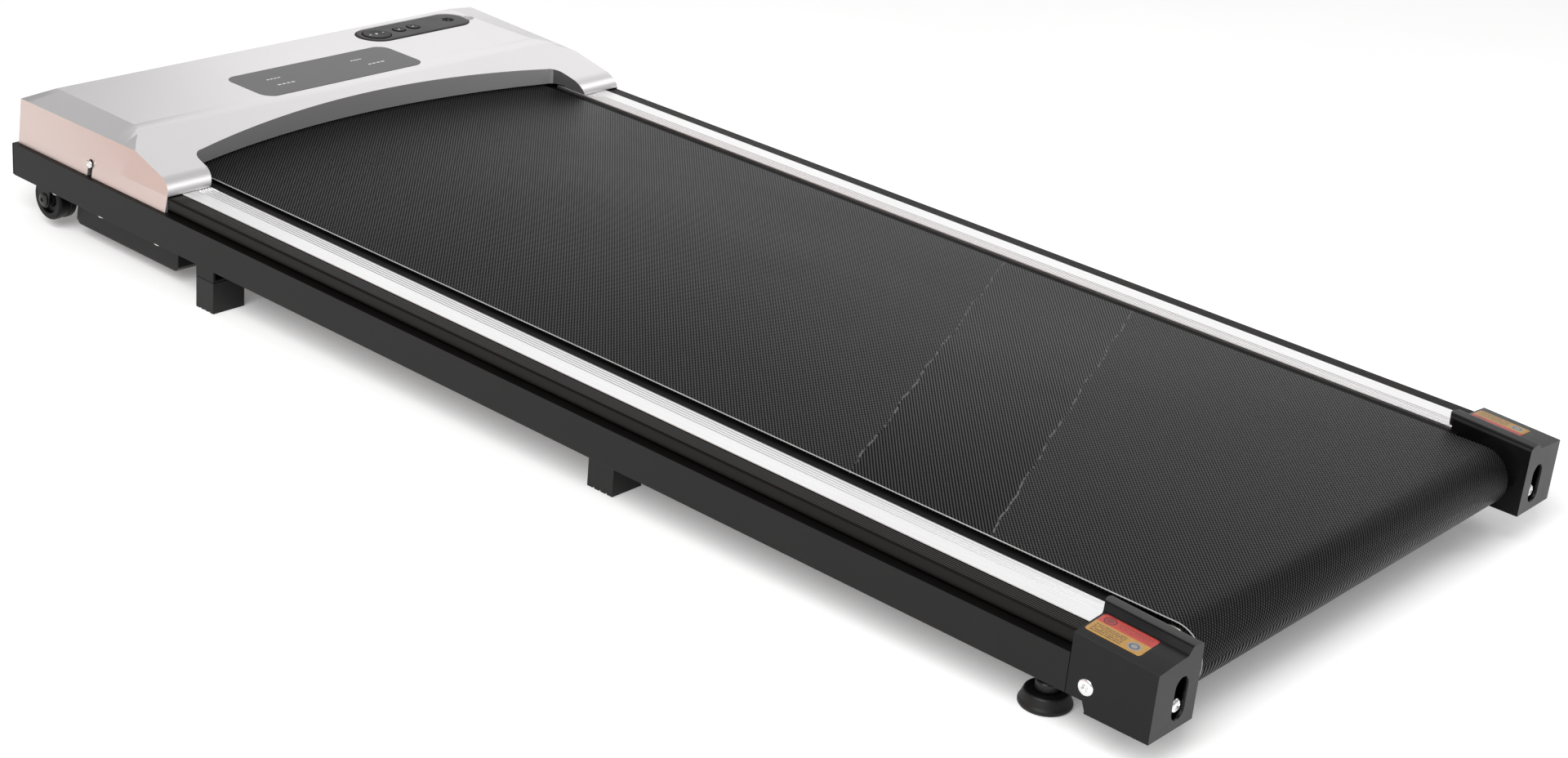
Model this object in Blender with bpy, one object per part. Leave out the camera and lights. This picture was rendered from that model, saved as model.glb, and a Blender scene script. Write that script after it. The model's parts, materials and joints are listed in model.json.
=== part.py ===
"""A flat under-desk treadmill: steel side frames, ribbed rails, walking belt, motor hood and remote.

Metres, +Z up, +Y towards the motor hood, origin on the floor below the middle of the machine.
"""

import math

import bmesh
import bpy
from mathutils import Vector

# Overall size
LENGTH = 1.170
WIDTH = 0.525
HALF_WIDTH = WIDTH / 2
REAR = -LENGTH / 2
FRONT = LENGTH / 2
GAP = 0.0003

# Steel frame
SHEET = 0.002
FRAME_BOTTOM = 0.036
FRAME_TOP = 0.0642
FRAME_REAR = REAR + 0.0632
FLANGE = 0.030
TOP_FLANGE = 0.017
CROSSBAR_WIDTH = 0.030
CROSSBAR_BOTTOM = FRAME_BOTTOM + SHEET + GAP
CROSSBAR_TOP = 0.052
CROSSBARS = {"rear": REAR + 0.0963, "middle": REAR + 0.4827, "front": REAR + 0.9073}

# Rollers, belt and deck
ROLLER_RADIUS = 0.0207
ROLLER_HEIGHT = 0.0548
ROLLER_HALF = 0.204
AXLE_RADIUS = 0.006
BEARING_RADIUS = 0.0142
BEARING_WIDTH = 0.008
REAR_ROLLER_Y = REAR + 0.029
FRONT_ROLLER_Y = REAR + 1.060
BELT_THICKNESS = 0.0014
BELT_HALF = 0.201
BELT_RADIUS = ROLLER_RADIUS + GAP + BELT_THICKNESS
DECK_TOP = ROLLER_HEIGHT + ROLLER_RADIUS
DECK_THICKNESS = 0.015
DECK_HALF = 0.213

# Side rails
RAIL_OUTER = 0.2560
RAIL_SPLIT = 0.2419
RAIL_INNER = 0.2150
RAIL_FRONT = REAR + 1.000
RAIL_BOTTOM = 0.0668
STRIP_INNER = 0.2135
STRIP_TOP = 0.0772
STRIP_SEAT = 0.0738

# End caps
CAP_LENGTH = 0.063
CAP_WIDTH = 0.0479
CAP_BOTTOM = 0.028
CAP_TOP_REAR = 0.0758
CAP_TOP_FRONT = 0.0787
CAP_RISE = 0.0075
CAP_COVE = ((0.2313, 0.0023), (0.2300, 0.0030), (0.2289, 0.0044), (0.2278, 0.0062), (0.2266, 0.0072))
CAP_WALL = 0.0019
TENSION_X = 0.2325

# Motor hood
HOOD_FRONT = REAR + 1.166
HOOD_LIP = REAR + 1.1565
HOOD_CREASE = REAR + 1.0435
HOOD_LEG = REAR + 0.978
HOOD_REAR = REAR + 0.9635
HOOD_BASE = FRAME_TOP + GAP
HOOD_TOP = 0.1075
HOOD_SHOULDER = 0.098
HOOD_SLOPE = 0.25
HOOD_WALL = 0.0025
HOOD_HALF_BASE = 0.259
HOOD_HALF_SHOULDER = 0.2495
HOOD_HALF_TOP = 0.2265
ARC_HEIGHT = 0.078
ARC_MIDDLE = REAR + 1.0335
ARC_LEAN = 0.457
ARC_CURVE = 0.70
LEG_LEAN = 0.385

# Display, remote and power inlet
LENS_HALF = 0.090
LENS_REAR = REAR + 1.046
LENS_FRONT = REAR + 1.107
REMOTE_RADIUS = 0.0195
REMOTE_START = 0.0885
REMOTE_END = 0.2160
REMOTE_Y = REAR + 1.1345
REMOTE_BOTTOM = 0.0993
REMOTE_TOP = 0.1080
DIAL_RADIUS = 0.0135
KEY_RADIUS = 0.0062
KEYS = {"plus": 0.1353, "minus": 0.1527}
INLET_Z = 0.0815
INLET_X = 0.1705
ROCKER_X = 0.1325
RESET_X = 0.1050

# Drive
MOTOR_Y = REAR + 1.120
MOTOR_Z = 0.0690
MOTOR_RADIUS = 0.030
MOTOR_START = -0.190
MOTOR_END = -0.075
PULLEY_X = -0.2185
PULLEY_WIDTH = 0.014
DRIVEN_RADIUS = 0.030
DRIVER_RADIUS = 0.010
DRIVE_BELT_THICKNESS = 0.0028

# Feet and wheels
WHEEL_RADIUS = 0.0185
WHEEL_Y = REAR + 1.125
WHEEL_Z = 0.0268
FOOT_X = 0.2295
FOOT_Y = CROSSBARS["rear"]
FOOT_RADIUS = 0.018
FOOT_HEIGHT = 0.0112
STUD_RADIUS = 0.005

SIDES = {"left": -1, "right": 1}


def clear_scene():
    for obj in list(bpy.data.objects):
        bpy.data.objects.remove(obj, do_unlink=True)


def finish(obj, colour, roughness, metallic=0.0):
    material = bpy.data.materials.new(obj.name)
    material.use_nodes = True
    shader = material.node_tree.nodes["Principled BSDF"]
    shader.inputs["Base Color"].default_value = (*colour, 1.0)
    shader.inputs["Roughness"].default_value = roughness
    shader.inputs["Metallic"].default_value = metallic
    obj.data.materials.clear()
    obj.data.materials.append(material)
    obj.data.shade_smooth()
    obj.data.set_sharp_from_angle(angle=math.radians(35))
    return obj


def black_steel(obj):
    return finish(obj, (0.045, 0.043, 0.042), 0.55, 0.3)


def bright_steel(obj):
    return finish(obj, (0.60, 0.60, 0.60), 0.3, 1.0)


def aluminium(obj):
    return finish(obj, (0.80, 0.80, 0.80), 0.35, 1.0)


def black_plastic(obj):
    return finish(obj, (0.03, 0.03, 0.03), 0.5)


def rubber(obj):
    return finish(obj, (0.02, 0.02, 0.02), 0.8)


def mesh_object(name, verts, faces, origin=(0, 0, 0)):
    mesh = bpy.data.meshes.new(name)
    centre = Vector(origin)
    mesh.from_pydata([Vector(v) - centre for v in verts], [], faces)
    bm = bmesh.new()
    bm.from_mesh(mesh)
    bmesh.ops.recalc_face_normals(bm, faces=bm.faces)
    bm.to_mesh(mesh)
    bm.free()
    obj = bpy.data.objects.new(name, mesh)
    obj.location = centre
    bpy.context.collection.objects.link(obj)
    return obj


def prism(name, outline, axis, start, end, origin=(0, 0, 0)):
    """A flat outline swept along an axis. The outline is (y, z), (x, z) or (x, y) for X, Y or Z."""
    def place(u, v, w):
        return {"X": (w, u, v), "Y": (u, w, v), "Z": (u, v, w)}[axis]

    count = len(outline)
    verts = [place(u, v, start) for u, v in outline]
    verts += [place(u, v, end) for u, v in outline]
    faces = [tuple(range(count)), tuple(range(2 * count - 1, count - 1, -1))]
    for i in range(count):
        j = (i + 1) % count
        faces.append((i, j, count + j, count + i))
    return mesh_object(name, verts, faces, origin)


def box(name, low, high, origin=(0, 0, 0)):
    outline = [(low[0], low[1]), (high[0], low[1]), (high[0], high[1]), (low[0], high[1])]
    return prism(name, outline, "Z", low[2], high[2], origin)


def side_box(name, side, low, high):
    """A box given by its distances from the middle plane, on the chosen side."""
    ends = sorted((side * low[0], side * high[0]))
    return box(name, (ends[0], low[1], low[2]), (ends[1], high[1], high[2]))


def circle(centre, radius, segments, start=0.0, end=2 * math.pi):
    closed = abs(end - start - 2 * math.pi) < 1e-9
    steps = segments if closed else segments + 1
    angles = [start + (end - start) * i / segments for i in range(steps)]
    return [(centre[0] + radius * math.cos(a), centre[1] + radius * math.sin(a)) for a in angles]


def turned(name, profile, axis, origin, segments=32, bore=0.0):
    """A round piece from (radius, distance along the axis) pairs; a bore leaves it hollow."""
    def place(radius, angle, along):
        u = radius * math.cos(angle)
        v = radius * math.sin(angle)
        point = {"X": (along, u, v), "Y": (u, along, v), "Z": (u, v, along)}[axis]
        return Vector(point) + Vector(origin)

    rings = list(profile)
    if bore:
        rings = rings + [(bore, profile[-1][1]), (bore, profile[0][1])]
    verts = []
    for radius, along in rings:
        verts += [place(radius, 2 * math.pi * i / segments, along) for i in range(segments)]
    faces = []
    count = len(rings)
    for r in range(count if bore else count - 1):
        a = r * segments
        b = ((r + 1) % count) * segments
        for i in range(segments):
            j = (i + 1) % segments
            faces.append((a + i, a + j, b + j, b + i))
    if not bore:
        faces.append(tuple(range(segments)))
        faces.append(tuple(range((count - 1) * segments, count * segments)))
    return mesh_object(name, verts, faces, origin)


def combine(base, other, operation):
    """Applies one Boolean with a helper solid, then removes the helper."""
    modifier = base.modifiers.new("Boolean", "BOOLEAN")
    modifier.solver = "EXACT"
    modifier.operation = operation
    modifier.object = other
    graph = bpy.context.evaluated_depsgraph_get()
    mesh = bpy.data.meshes.new_from_object(base.evaluated_get(graph))
    base.modifiers.clear()
    base.data = mesh
    bpy.data.objects.remove(other, do_unlink=True)
    return base


def cut(base, *others):
    for other in others:
        combine(base, other, "DIFFERENCE")
    return base


def join(base, *others):
    for other in others:
        combine(base, other, "UNION")
    return base


def rod(name, axis, centre, radius, start, end, segments=24):
    """A plain cylinder helper, its centre given in the plane across its axis."""
    return prism(name, circle(centre, radius, segments), axis, start, end)


# ---------------------------------------------------------------- steel frame


def side_frame(name, side):
    """A channel opening inwards, with an ear for the wheel and a bracket for the front block."""
    outer = side * HALF_WIDTH
    inner = side * (HALF_WIDTH - SHEET)
    flange = side * (HALF_WIDTH - FLANGE)
    top_flange = side * (HALF_WIDTH - TOP_FLANGE)
    low = FRAME_BOTTOM
    high = FRAME_TOP
    section = [(outer, low), (outer, high), (top_flange, high), (top_flange, high - SHEET)]
    section += [(inner, high - SHEET), (inner, low + SHEET), (flange, low + SHEET), (flange, low)]
    frame = prism(name, section, "Y", FRAME_REAR, FRONT - SHEET - GAP)
    web = (HALF_WIDTH - SHEET, HALF_WIDTH)
    ear_outline = [(WHEEL_Y + 0.009, low + 0.004), (WHEEL_Y - 0.009, low + 0.004)]
    ear_outline += circle((WHEEL_Y, WHEEL_Z), 0.0072, 12, math.pi, 2 * math.pi)
    ear = prism("ear", ear_outline, "X", side * web[0], side * web[1])
    block_y = CROSSBARS["front"]
    notch_rear = WHEEL_Y - 0.022
    notch_front = WHEEL_Y + 0.022
    cut(frame, side_box("notch", side, (0.2300, notch_rear, 0.030), (web[0], notch_front, 0.0467)))
    join(frame, ear)
    rear = block_y - 0.011
    front = block_y + 0.011
    tab = side_box("tab", side, (web[0], rear, 0.0267), (web[1], front, low + 0.004))
    shelf = side_box("shelf", side, (0.2314, rear, 0.0267), (0.2612, front, 0.0267 + SHEET))
    join(frame, tab, shelf)
    cut(frame, rod("hole", "X", (WHEEL_Y, WHEEL_Z), 0.0044, side * 0.255, side * 0.270, 16))
    cut(frame, rod("hole", "Z", (side * FOOT_X, FOOT_Y), 0.0075, 0.030, 0.045, 16))
    return black_steel(frame)


def front_crossmember():
    """The plate across the front, with a return flange at its top and its bottom."""
    low = FRAME_BOTTOM
    high = FRAME_TOP
    back = FRONT - SHEET
    section = [(FRONT, low), (FRONT, high), (back - 0.016, high), (back - 0.016, high - SHEET)]
    section += [(back, high - SHEET), (back, low + SHEET), (back - 0.016, low + SHEET), (back - 0.016, low)]
    member = prism("front_crossmember", section, "X", -HALF_WIDTH, HALF_WIDTH)
    for side in SIDES.values():
        cut(member, side_box("end", side, (0.2320, FRONT - 0.03, 0.02), (0.27, back, 0.08)))
    return black_steel(member)


def crossbar(name, y):
    """A channel opening downwards, between the two runs of the belt."""
    half = CROSSBAR_WIDTH / 2
    top = CROSSBAR_TOP
    low = CROSSBAR_BOTTOM
    section = [(y - half, low), (y - half, top), (y + half, top), (y + half, low)]
    section += [(y + half - SHEET, low), (y + half - SHEET, top - SHEET)]
    section += [(y - half + SHEET, top - SHEET), (y - half + SHEET, low)]
    reach = HALF_WIDTH - SHEET - GAP
    bar = prism(name, section, "X", -reach, reach)
    if name == "crossbar_rear":
        for side in SIDES.values():
            cut(bar, rod("hole", "Z", (side * FOOT_X, FOOT_Y), STUD_RADIUS + GAP, 0.04, 0.06, 16))
    return black_steel(bar)


def belly_pan():
    """The guard tray below the front roller, with the plate that carries the motor."""
    rear = REAR + 0.958
    front = REAR + 1.097
    top = FRAME_BOTTOM - GAP
    wall = 0.0016
    outer = [(rear, top), (rear, 0.0165), (rear + 0.0045, 0.012), (front - 0.004, 0.012)]
    outer += [(front, 0.016), (front - 0.003, top)]
    inner = [(rear + wall, top + 0.01), (rear + wall, 0.0175), (rear + 0.0055, 0.012 + wall)]
    inner += [(front - 0.005, 0.012 + wall), (front - wall, 0.017), (front - wall - 0.004, top + 0.01)]
    pan = prism("belly_pan", outer, "X", -0.250, 0.250)
    join(pan, box("plate", (-0.225, front - 0.004, top - wall), (0.225, FRONT - 0.004, top)))
    cut(pan, prism("hollow", inner, "X", -0.2484, 0.2484))
    cut(pan, box("entry", (-0.206, rear - 0.01, 0.0300), (0.206, rear + 0.02, 0.05)))
    notch = PULLEY_WIDTH / 2 + 0.002
    cut(pan, box("belt", (PULLEY_X - notch, front - 0.012, 0.026), (PULLEY_X + notch, front + 0.020, 0.05)))
    return black_steel(pan)


def rear_bracket(name, side):
    """The slotted plate that guides the rear axle, with the ear its tension bolt pulls against."""
    low = 0.0400
    high = 0.0618
    rear = REAR + 0.0145
    front = REAR + 0.0780
    outer = side * (HALF_WIDTH - SHEET - GAP)
    inner = side * (HALF_WIDTH - SHEET - GAP - 0.003)
    reach = side * 0.2220
    section = [(outer, rear), (outer, front), (inner, front), (inner, rear + 0.003)]
    section += [(reach, rear + 0.003), (reach, rear)]
    bracket = prism(name, section, "Z", low, high)
    slot = circle((REAR_ROLLER_Y + 0.014, ROLLER_HEIGHT), AXLE_RADIUS + GAP, 10, -math.pi / 2, math.pi / 2)
    slot += circle((REAR_ROLLER_Y - 0.002, ROLLER_HEIGHT), AXLE_RADIUS + GAP, 10, math.pi / 2, 1.5 * math.pi)
    cut(bracket, prism("slot", slot, "X", side * 0.250, side * 0.265))
    cut(bracket, rod("hole", "Y", (side * TENSION_X, ROLLER_HEIGHT), 0.0034, rear - 0.01, rear + 0.01, 16))
    return black_steel(bracket)


def front_bracket(name, side):
    """The block that holds an end of the front axle."""
    rear = FRONT_ROLLER_Y - 0.014
    front = FRONT_ROLLER_Y + 0.014
    centre = (FRONT_ROLLER_Y, ROLLER_HEIGHT)
    block = side_box(name, side, (0.2400, rear, 0.0383), (0.2602, front, 0.0619))
    cut(block, rod("bore", "X", centre, AXLE_RADIUS + GAP, side * 0.230, side * 0.270))
    return black_steel(block)


# ---------------------------------------------------------------- rails and caps


def ribs(start, end, count, top, depth):
    """The top edge of a ribbed extrusion, from start to end across the width."""
    points = []
    pitch = (end - start) / count
    for i in range(count):
        left = start + i * pitch
        points += [(left + 0.15 * pitch, top), (left + 0.70 * pitch, top)]
        points += [(left + 0.75 * pitch, top - depth), (left + 0.95 * pitch, top - depth)]
    return points


def side_rail(name, side):
    """The black extrusion on top of the side frame: ribbed edge outside, seat for the strip inside."""
    section = [(0.2430, HOOD_BASE), (0.2525, HOOD_BASE), (0.2525, RAIL_BOTTOM), (RAIL_OUTER, RAIL_BOTTOM)]
    section += [(RAIL_OUTER, 0.0752), (RAIL_OUTER - 0.0008, 0.0762)]
    section += ribs(RAIL_OUTER - 0.0012, RAIL_SPLIT + 0.0008, 6, 0.0766, 0.0006)
    section += [(RAIL_SPLIT + 0.0004, 0.0768), (RAIL_SPLIT, 0.0766), (RAIL_SPLIT, STRIP_SEAT)]
    section += [(RAIL_INNER, STRIP_SEAT), (RAIL_INNER, 0.0700), (0.2430, 0.0700)]
    rail = prism(name, [(side * x, z) for x, z in section], "Y", FRAME_REAR + 0.0002, RAIL_FRONT)
    return finish(rail, (0.035, 0.033, 0.032), 0.45, 0.4)


def tread_strip(name, side):
    """The silver foot strip: smooth outer half, fine ribs on the inner half."""
    low = STRIP_SEAT + GAP
    outer = RAIL_SPLIT - GAP
    section = [(STRIP_INNER, low), (outer, low), (outer, STRIP_TOP - 0.0003), (outer - 0.0004, STRIP_TOP)]
    section += [(0.2290, STRIP_TOP)]
    section += ribs(0.2285, STRIP_INNER + 0.0006, 5, STRIP_TOP, 0.0007)
    section += [(STRIP_INNER + 0.0003, STRIP_TOP), (STRIP_INNER, STRIP_TOP - 0.0004)]
    strip = prism(name, [(side * x, z) for x, z in section], "Y", FRAME_REAR + 0.0002, RAIL_FRONT)
    return aluminium(strip)


def cap_section(top, wall):
    """Half a cap seen from behind, as (distance from the middle plane, height)."""
    outer = HALF_WIDTH - wall
    inner = HALF_WIDTH - CAP_WIDTH + wall
    ridge = top + CAP_RISE
    points = [(outer, CAP_BOTTOM + wall), (outer, top - 0.0010 - wall), (outer - 0.0010, top - wall)]
    points += [(x - 0.7 * wall, top + rise - 0.9 * wall) for x, rise in CAP_COVE]
    points += [(0.2250 - 0.5 * wall, ridge - wall), (inner + 0.0025, ridge - wall - 0.0004)]
    points += [(inner + 0.0008, ridge - wall - 0.0012), (inner, ridge - wall - 0.0030)]
    points += [(inner, CAP_BOTTOM + wall)]
    return points


def cap_form(name, side, wall, rear, front):
    """The cap's top falls gently towards the rear."""
    verts = []
    for y, top in ((rear, CAP_TOP_REAR), (front, CAP_TOP_FRONT)):
        verts += [(side * x, y, z) for x, z in cap_section(top, wall)]
    count = len(verts) // 2
    faces = [tuple(range(count)), tuple(range(2 * count - 1, count - 1, -1))]
    for i in range(count):
        j = (i + 1) % count
        faces.append((i, j, count + j, count + i))
    return mesh_object(name, verts, faces)


def end_cap(name, side):
    """The plastic cap over the rear end of a frame, with a slot for the tension bolt."""
    cap = cap_form(name, side, 0.0, REAR, REAR + CAP_LENGTH)
    cut(cap, cap_form("hollow", side, CAP_WALL, REAR + 0.0025, REAR + CAP_LENGTH + 0.01))
    slot = circle((side * TENSION_X, 0.0605), 0.006, 10, 0, math.pi)
    slot += circle((side * TENSION_X, 0.0415), 0.006, 10, math.pi, 2 * math.pi)
    cut(cap, prism("slot", slot, "Y", REAR - 0.01, REAR + 0.005))
    low = ROLLER_HEIGHT - 0.0085
    high = ROLLER_HEIGHT + 0.0085
    cut(cap, side_box("axle", side, (0.2130, REAR + 0.0185, low), (0.2180, REAR + 0.08, high)))
    notch = [(REAR + 0.0475, 0.02), (REAR + 0.0475, CAP_BOTTOM + 0.002), (REAR + 0.0500, FRAME_BOTTOM)]
    notch += [(REAR + 0.08, FRAME_BOTTOM), (REAR + 0.08, 0.02)]
    cut(cap, prism("step", notch, "X", side * 0.205, side * 0.270))
    return black_plastic(cap)


# ---------------------------------------------------------------- rollers, belt and deck


def roller(name, y):
    profile = [(ROLLER_RADIUS - 0.001, -ROLLER_HALF), (ROLLER_RADIUS, -ROLLER_HALF + 0.001)]
    profile += [(ROLLER_RADIUS, ROLLER_HALF - 0.001), (ROLLER_RADIUS - 0.001, ROLLER_HALF)]
    tube = turned(name, profile, "X", (0, y, ROLLER_HEIGHT), 32, BEARING_RADIUS + GAP)
    return bright_steel(tube)


def bearing(name, side, y):
    start = side * ROLLER_HALF - side * 0.001
    end = start - side * BEARING_WIDTH
    low, high = sorted((start, end))
    profile = [(BEARING_RADIUS, low), (BEARING_RADIUS, high)]
    ring = turned(name, profile, "X", (0, y, ROLLER_HEIGHT), 24, AXLE_RADIUS + GAP)
    return bright_steel(ring)


def axle(name, y, half, drilled):
    profile = [(AXLE_RADIUS - 0.0008, -half), (AXLE_RADIUS, -half + 0.0008)]
    profile += [(AXLE_RADIUS, half - 0.0008), (AXLE_RADIUS - 0.0008, half)]
    shaft = turned(name, profile, "X", (0, y, ROLLER_HEIGHT), 24)
    if drilled:
        for side in SIDES.values():
            hole = rod("hole", "Y", (side * TENSION_X, ROLLER_HEIGHT), 0.0034, y - 0.02, y + 0.02, 16)
            hole.location = (0, 0, 0)
            cut(shaft, hole)
    return bright_steel(shaft)


def loop_outline(small, small_radius, large, large_radius, segments):
    """The path of a belt round two wheels in the (y, z) plane, without a crossing."""
    dy = small[0] - large[0]
    dz = small[1] - large[1]
    distance = math.hypot(dy, dz)
    heading = math.atan2(dz, dy)
    tangent = math.acos((large_radius - small_radius) / distance)
    points = circle(small, small_radius, segments, heading - tangent, heading + tangent)
    points += circle(large, large_radius, segments, heading + tangent, heading + 2 * math.pi - tangent)
    return points


def loop_belt(name, outer, inner, start, end):
    count = len(outer)
    verts = []
    for x in (start, end):
        verts += [(x, y, z) for y, z in outer]
        verts += [(x, y, z) for y, z in inner]
    faces = []
    for i in range(count):
        j = (i + 1) % count
        a, b = i, j
        faces.append((a, b, 2 * count + b, 2 * count + a))
        faces.append((count + a, 3 * count + a, 3 * count + b, count + b))
        faces.append((a, count + a, count + b, b))
        faces.append((2 * count + a, 2 * count + b, 3 * count + b, 3 * count + a))
    return mesh_object(name, verts, faces)


def walking_belt():
    rear = (REAR_ROLLER_Y, ROLLER_HEIGHT)
    front = (FRONT_ROLLER_Y, ROLLER_HEIGHT)
    outer = loop_outline(front, BELT_RADIUS, rear, BELT_RADIUS, 20)
    inner = loop_outline(front, ROLLER_RADIUS + GAP, rear, ROLLER_RADIUS + GAP, 20)
    return rubber(loop_belt("walking_belt", outer, inner, -BELT_HALF, BELT_HALF))


def deck_board():
    low = (-DECK_HALF, REAR + 0.056, DECK_TOP - GAP - DECK_THICKNESS)
    high = (DECK_HALF, REAR + 1.020, DECK_TOP - GAP)
    return finish(box("deck_board", low, high), (0.02, 0.02, 0.02), 0.4)


def deck_cushion(name, y):
    top = DECK_TOP - GAP - DECK_THICKNESS - GAP
    low = CROSSBAR_TOP + GAP
    outline = [(y - 0.011, low), (y + 0.011, low), (y + 0.009, top), (y - 0.009, top)]
    return rubber(prism(name, outline, "X", -0.170, 0.170))


def tension_bolt(name, side):
    """A socket head bolt whose thread draws the rear axle towards the bracket's ear."""
    x = side * TENSION_X
    head = REAR + 0.0085
    profile = [(0.0046, 0.0), (0.0050, 0.0006), (0.0050, 0.0057), (0.0030, 0.0057), (0.0030, 0.0365)]
    bolt = turned(name, profile, "Y", (x, head, ROLLER_HEIGHT), 16)
    socket = rod("socket", "Y", (x, ROLLER_HEIGHT), 0.0026, head - 0.001, head + 0.003, 6)
    cut(bolt, socket)
    return bright_steel(bolt)


# ---------------------------------------------------------------- motor hood


def slope_height(y, inset=0.0):
    """Height of the hood's rear slope at a place along the machine."""
    return HOOD_TOP - HOOD_SLOPE * (HOOD_CREASE - y) - inset * math.hypot(1, HOOD_SLOPE)


def hood_side_profile(inset, base):
    """The hood seen from the side, as (y, z)."""
    top = HOOD_TOP - inset
    front = HOOD_FRONT - inset
    chamfer = inset * 0.45
    rear = HOOD_REAR + inset
    leg_height = slope_height(HOOD_LEG, inset)
    crease = HOOD_CREASE + inset * 0.12
    points = [(front, base), (front, HOOD_SHOULDER - chamfer), (HOOD_LIP - chamfer, top), (crease, top)]
    points.append((HOOD_LEG, leg_height))
    for step in (1, 2, 3, 4):
        turn = math.radians(22.5 * step)
        y = HOOD_LEG - (HOOD_LEG - rear) * math.sin(turn)
        z = STRIP_TOP + (leg_height - STRIP_TOP) * math.cos(turn)
        points.append((y, z))
    points.append((rear, base))
    return points


def hood_front_profile(inset, base):
    """The hood seen from the front, as (x, z)."""
    half = [(HOOD_HALF_BASE, base), (HOOD_HALF_BASE - 0.0002, ARC_HEIGHT)]
    half += [(HOOD_HALF_SHOULDER + 0.0002, HOOD_SHOULDER - 0.2 * inset)]
    half += [(HOOD_HALF_TOP + 0.4 * inset, HOOD_TOP - inset)]
    half = [(x - inset, z) for x, z in half]
    return half + [(-x, z) for x, z in reversed(half)]


def arc_outline(z, offset):
    """The hood's scooped rear edge at a height, from one leg to the other, as (x, y)."""
    rise = z - ARC_HEIGHT
    middle = ARC_MIDDLE - ARC_LEAN * rise + offset
    reach = STRIP_INNER - LEG_LEAN * rise + offset
    corner = reach - 0.010
    corner_y = middle - ARC_CURVE * corner * corner
    points = []
    for i in range(25):
        x = -corner + 2 * corner * i / 24
        points.append((x, middle - ARC_CURVE * x * x))
    for step in (1, 2, 3, 4):
        turn = math.radians(22.5 * step)
        points.append((corner + 0.010 * math.sin(turn), corner_y - 0.013 * (1 - math.cos(turn))))
    points.append((reach, REAR + 0.90))
    mirrored = [(-x, y) for x, y in reversed(points[25:])]
    return mirrored + points


def arc_cutter(offset):
    low = 0.050
    high = 0.130
    verts = [(x, y, low) for x, y in arc_outline(low, offset)]
    verts += [(x, y, high) for x, y in arc_outline(high, offset)]
    count = len(verts) // 2
    faces = [tuple(range(count)), tuple(range(2 * count - 1, count - 1, -1))]
    for i in range(count):
        j = (i + 1) % count
        faces.append((i, j, count + j, count + i))
    return mesh_object("arc", verts, faces)


def hood_form(name, inset, base):
    form = prism(name, hood_side_profile(inset, base), "X", -0.30, 0.30)
    combine(form, prism("sides", hood_front_profile(inset, base), "Y", REAR + 0.9, FRONT + 0.1), "INTERSECT")
    return cut(form, arc_cutter(inset))


def stadium(start, end, y, radius, segments=12):
    points = circle((end - radius, y), radius, segments, -math.pi / 2, math.pi / 2)
    return points + circle((start + radius, y), radius, segments, math.pi / 2, 1.5 * math.pi)


def rounded(low, high, radius, segments=5):
    """A rounded rectangle, as (u, v)."""
    quarter = math.pi / 2
    points = circle((high[0] - radius, high[1] - radius), radius, segments, 0, quarter)
    points += circle((low[0] + radius, high[1] - radius), radius, segments, quarter, 2 * quarter)
    points += circle((low[0] + radius, low[1] + radius), radius, segments, 2 * quarter, 3 * quarter)
    points += circle((high[0] - radius, low[1] + radius), radius, segments, 3 * quarter, 4 * quarter)
    return points


def soften(obj, width, segments, angle):
    """Rounds the edges sharper than the angle, before the form is hollowed."""
    bevel = obj.modifiers.new("Bevel", "BEVEL")
    bevel.width = width
    bevel.segments = segments
    bevel.limit_method = "ANGLE"
    bevel.angle_limit = math.radians(angle)
    bevel.harden_normals = False
    graph = bpy.context.evaluated_depsgraph_get()
    mesh = bpy.data.meshes.new_from_object(obj.evaluated_get(graph))
    obj.modifiers.clear()
    obj.data = mesh
    return obj


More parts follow.
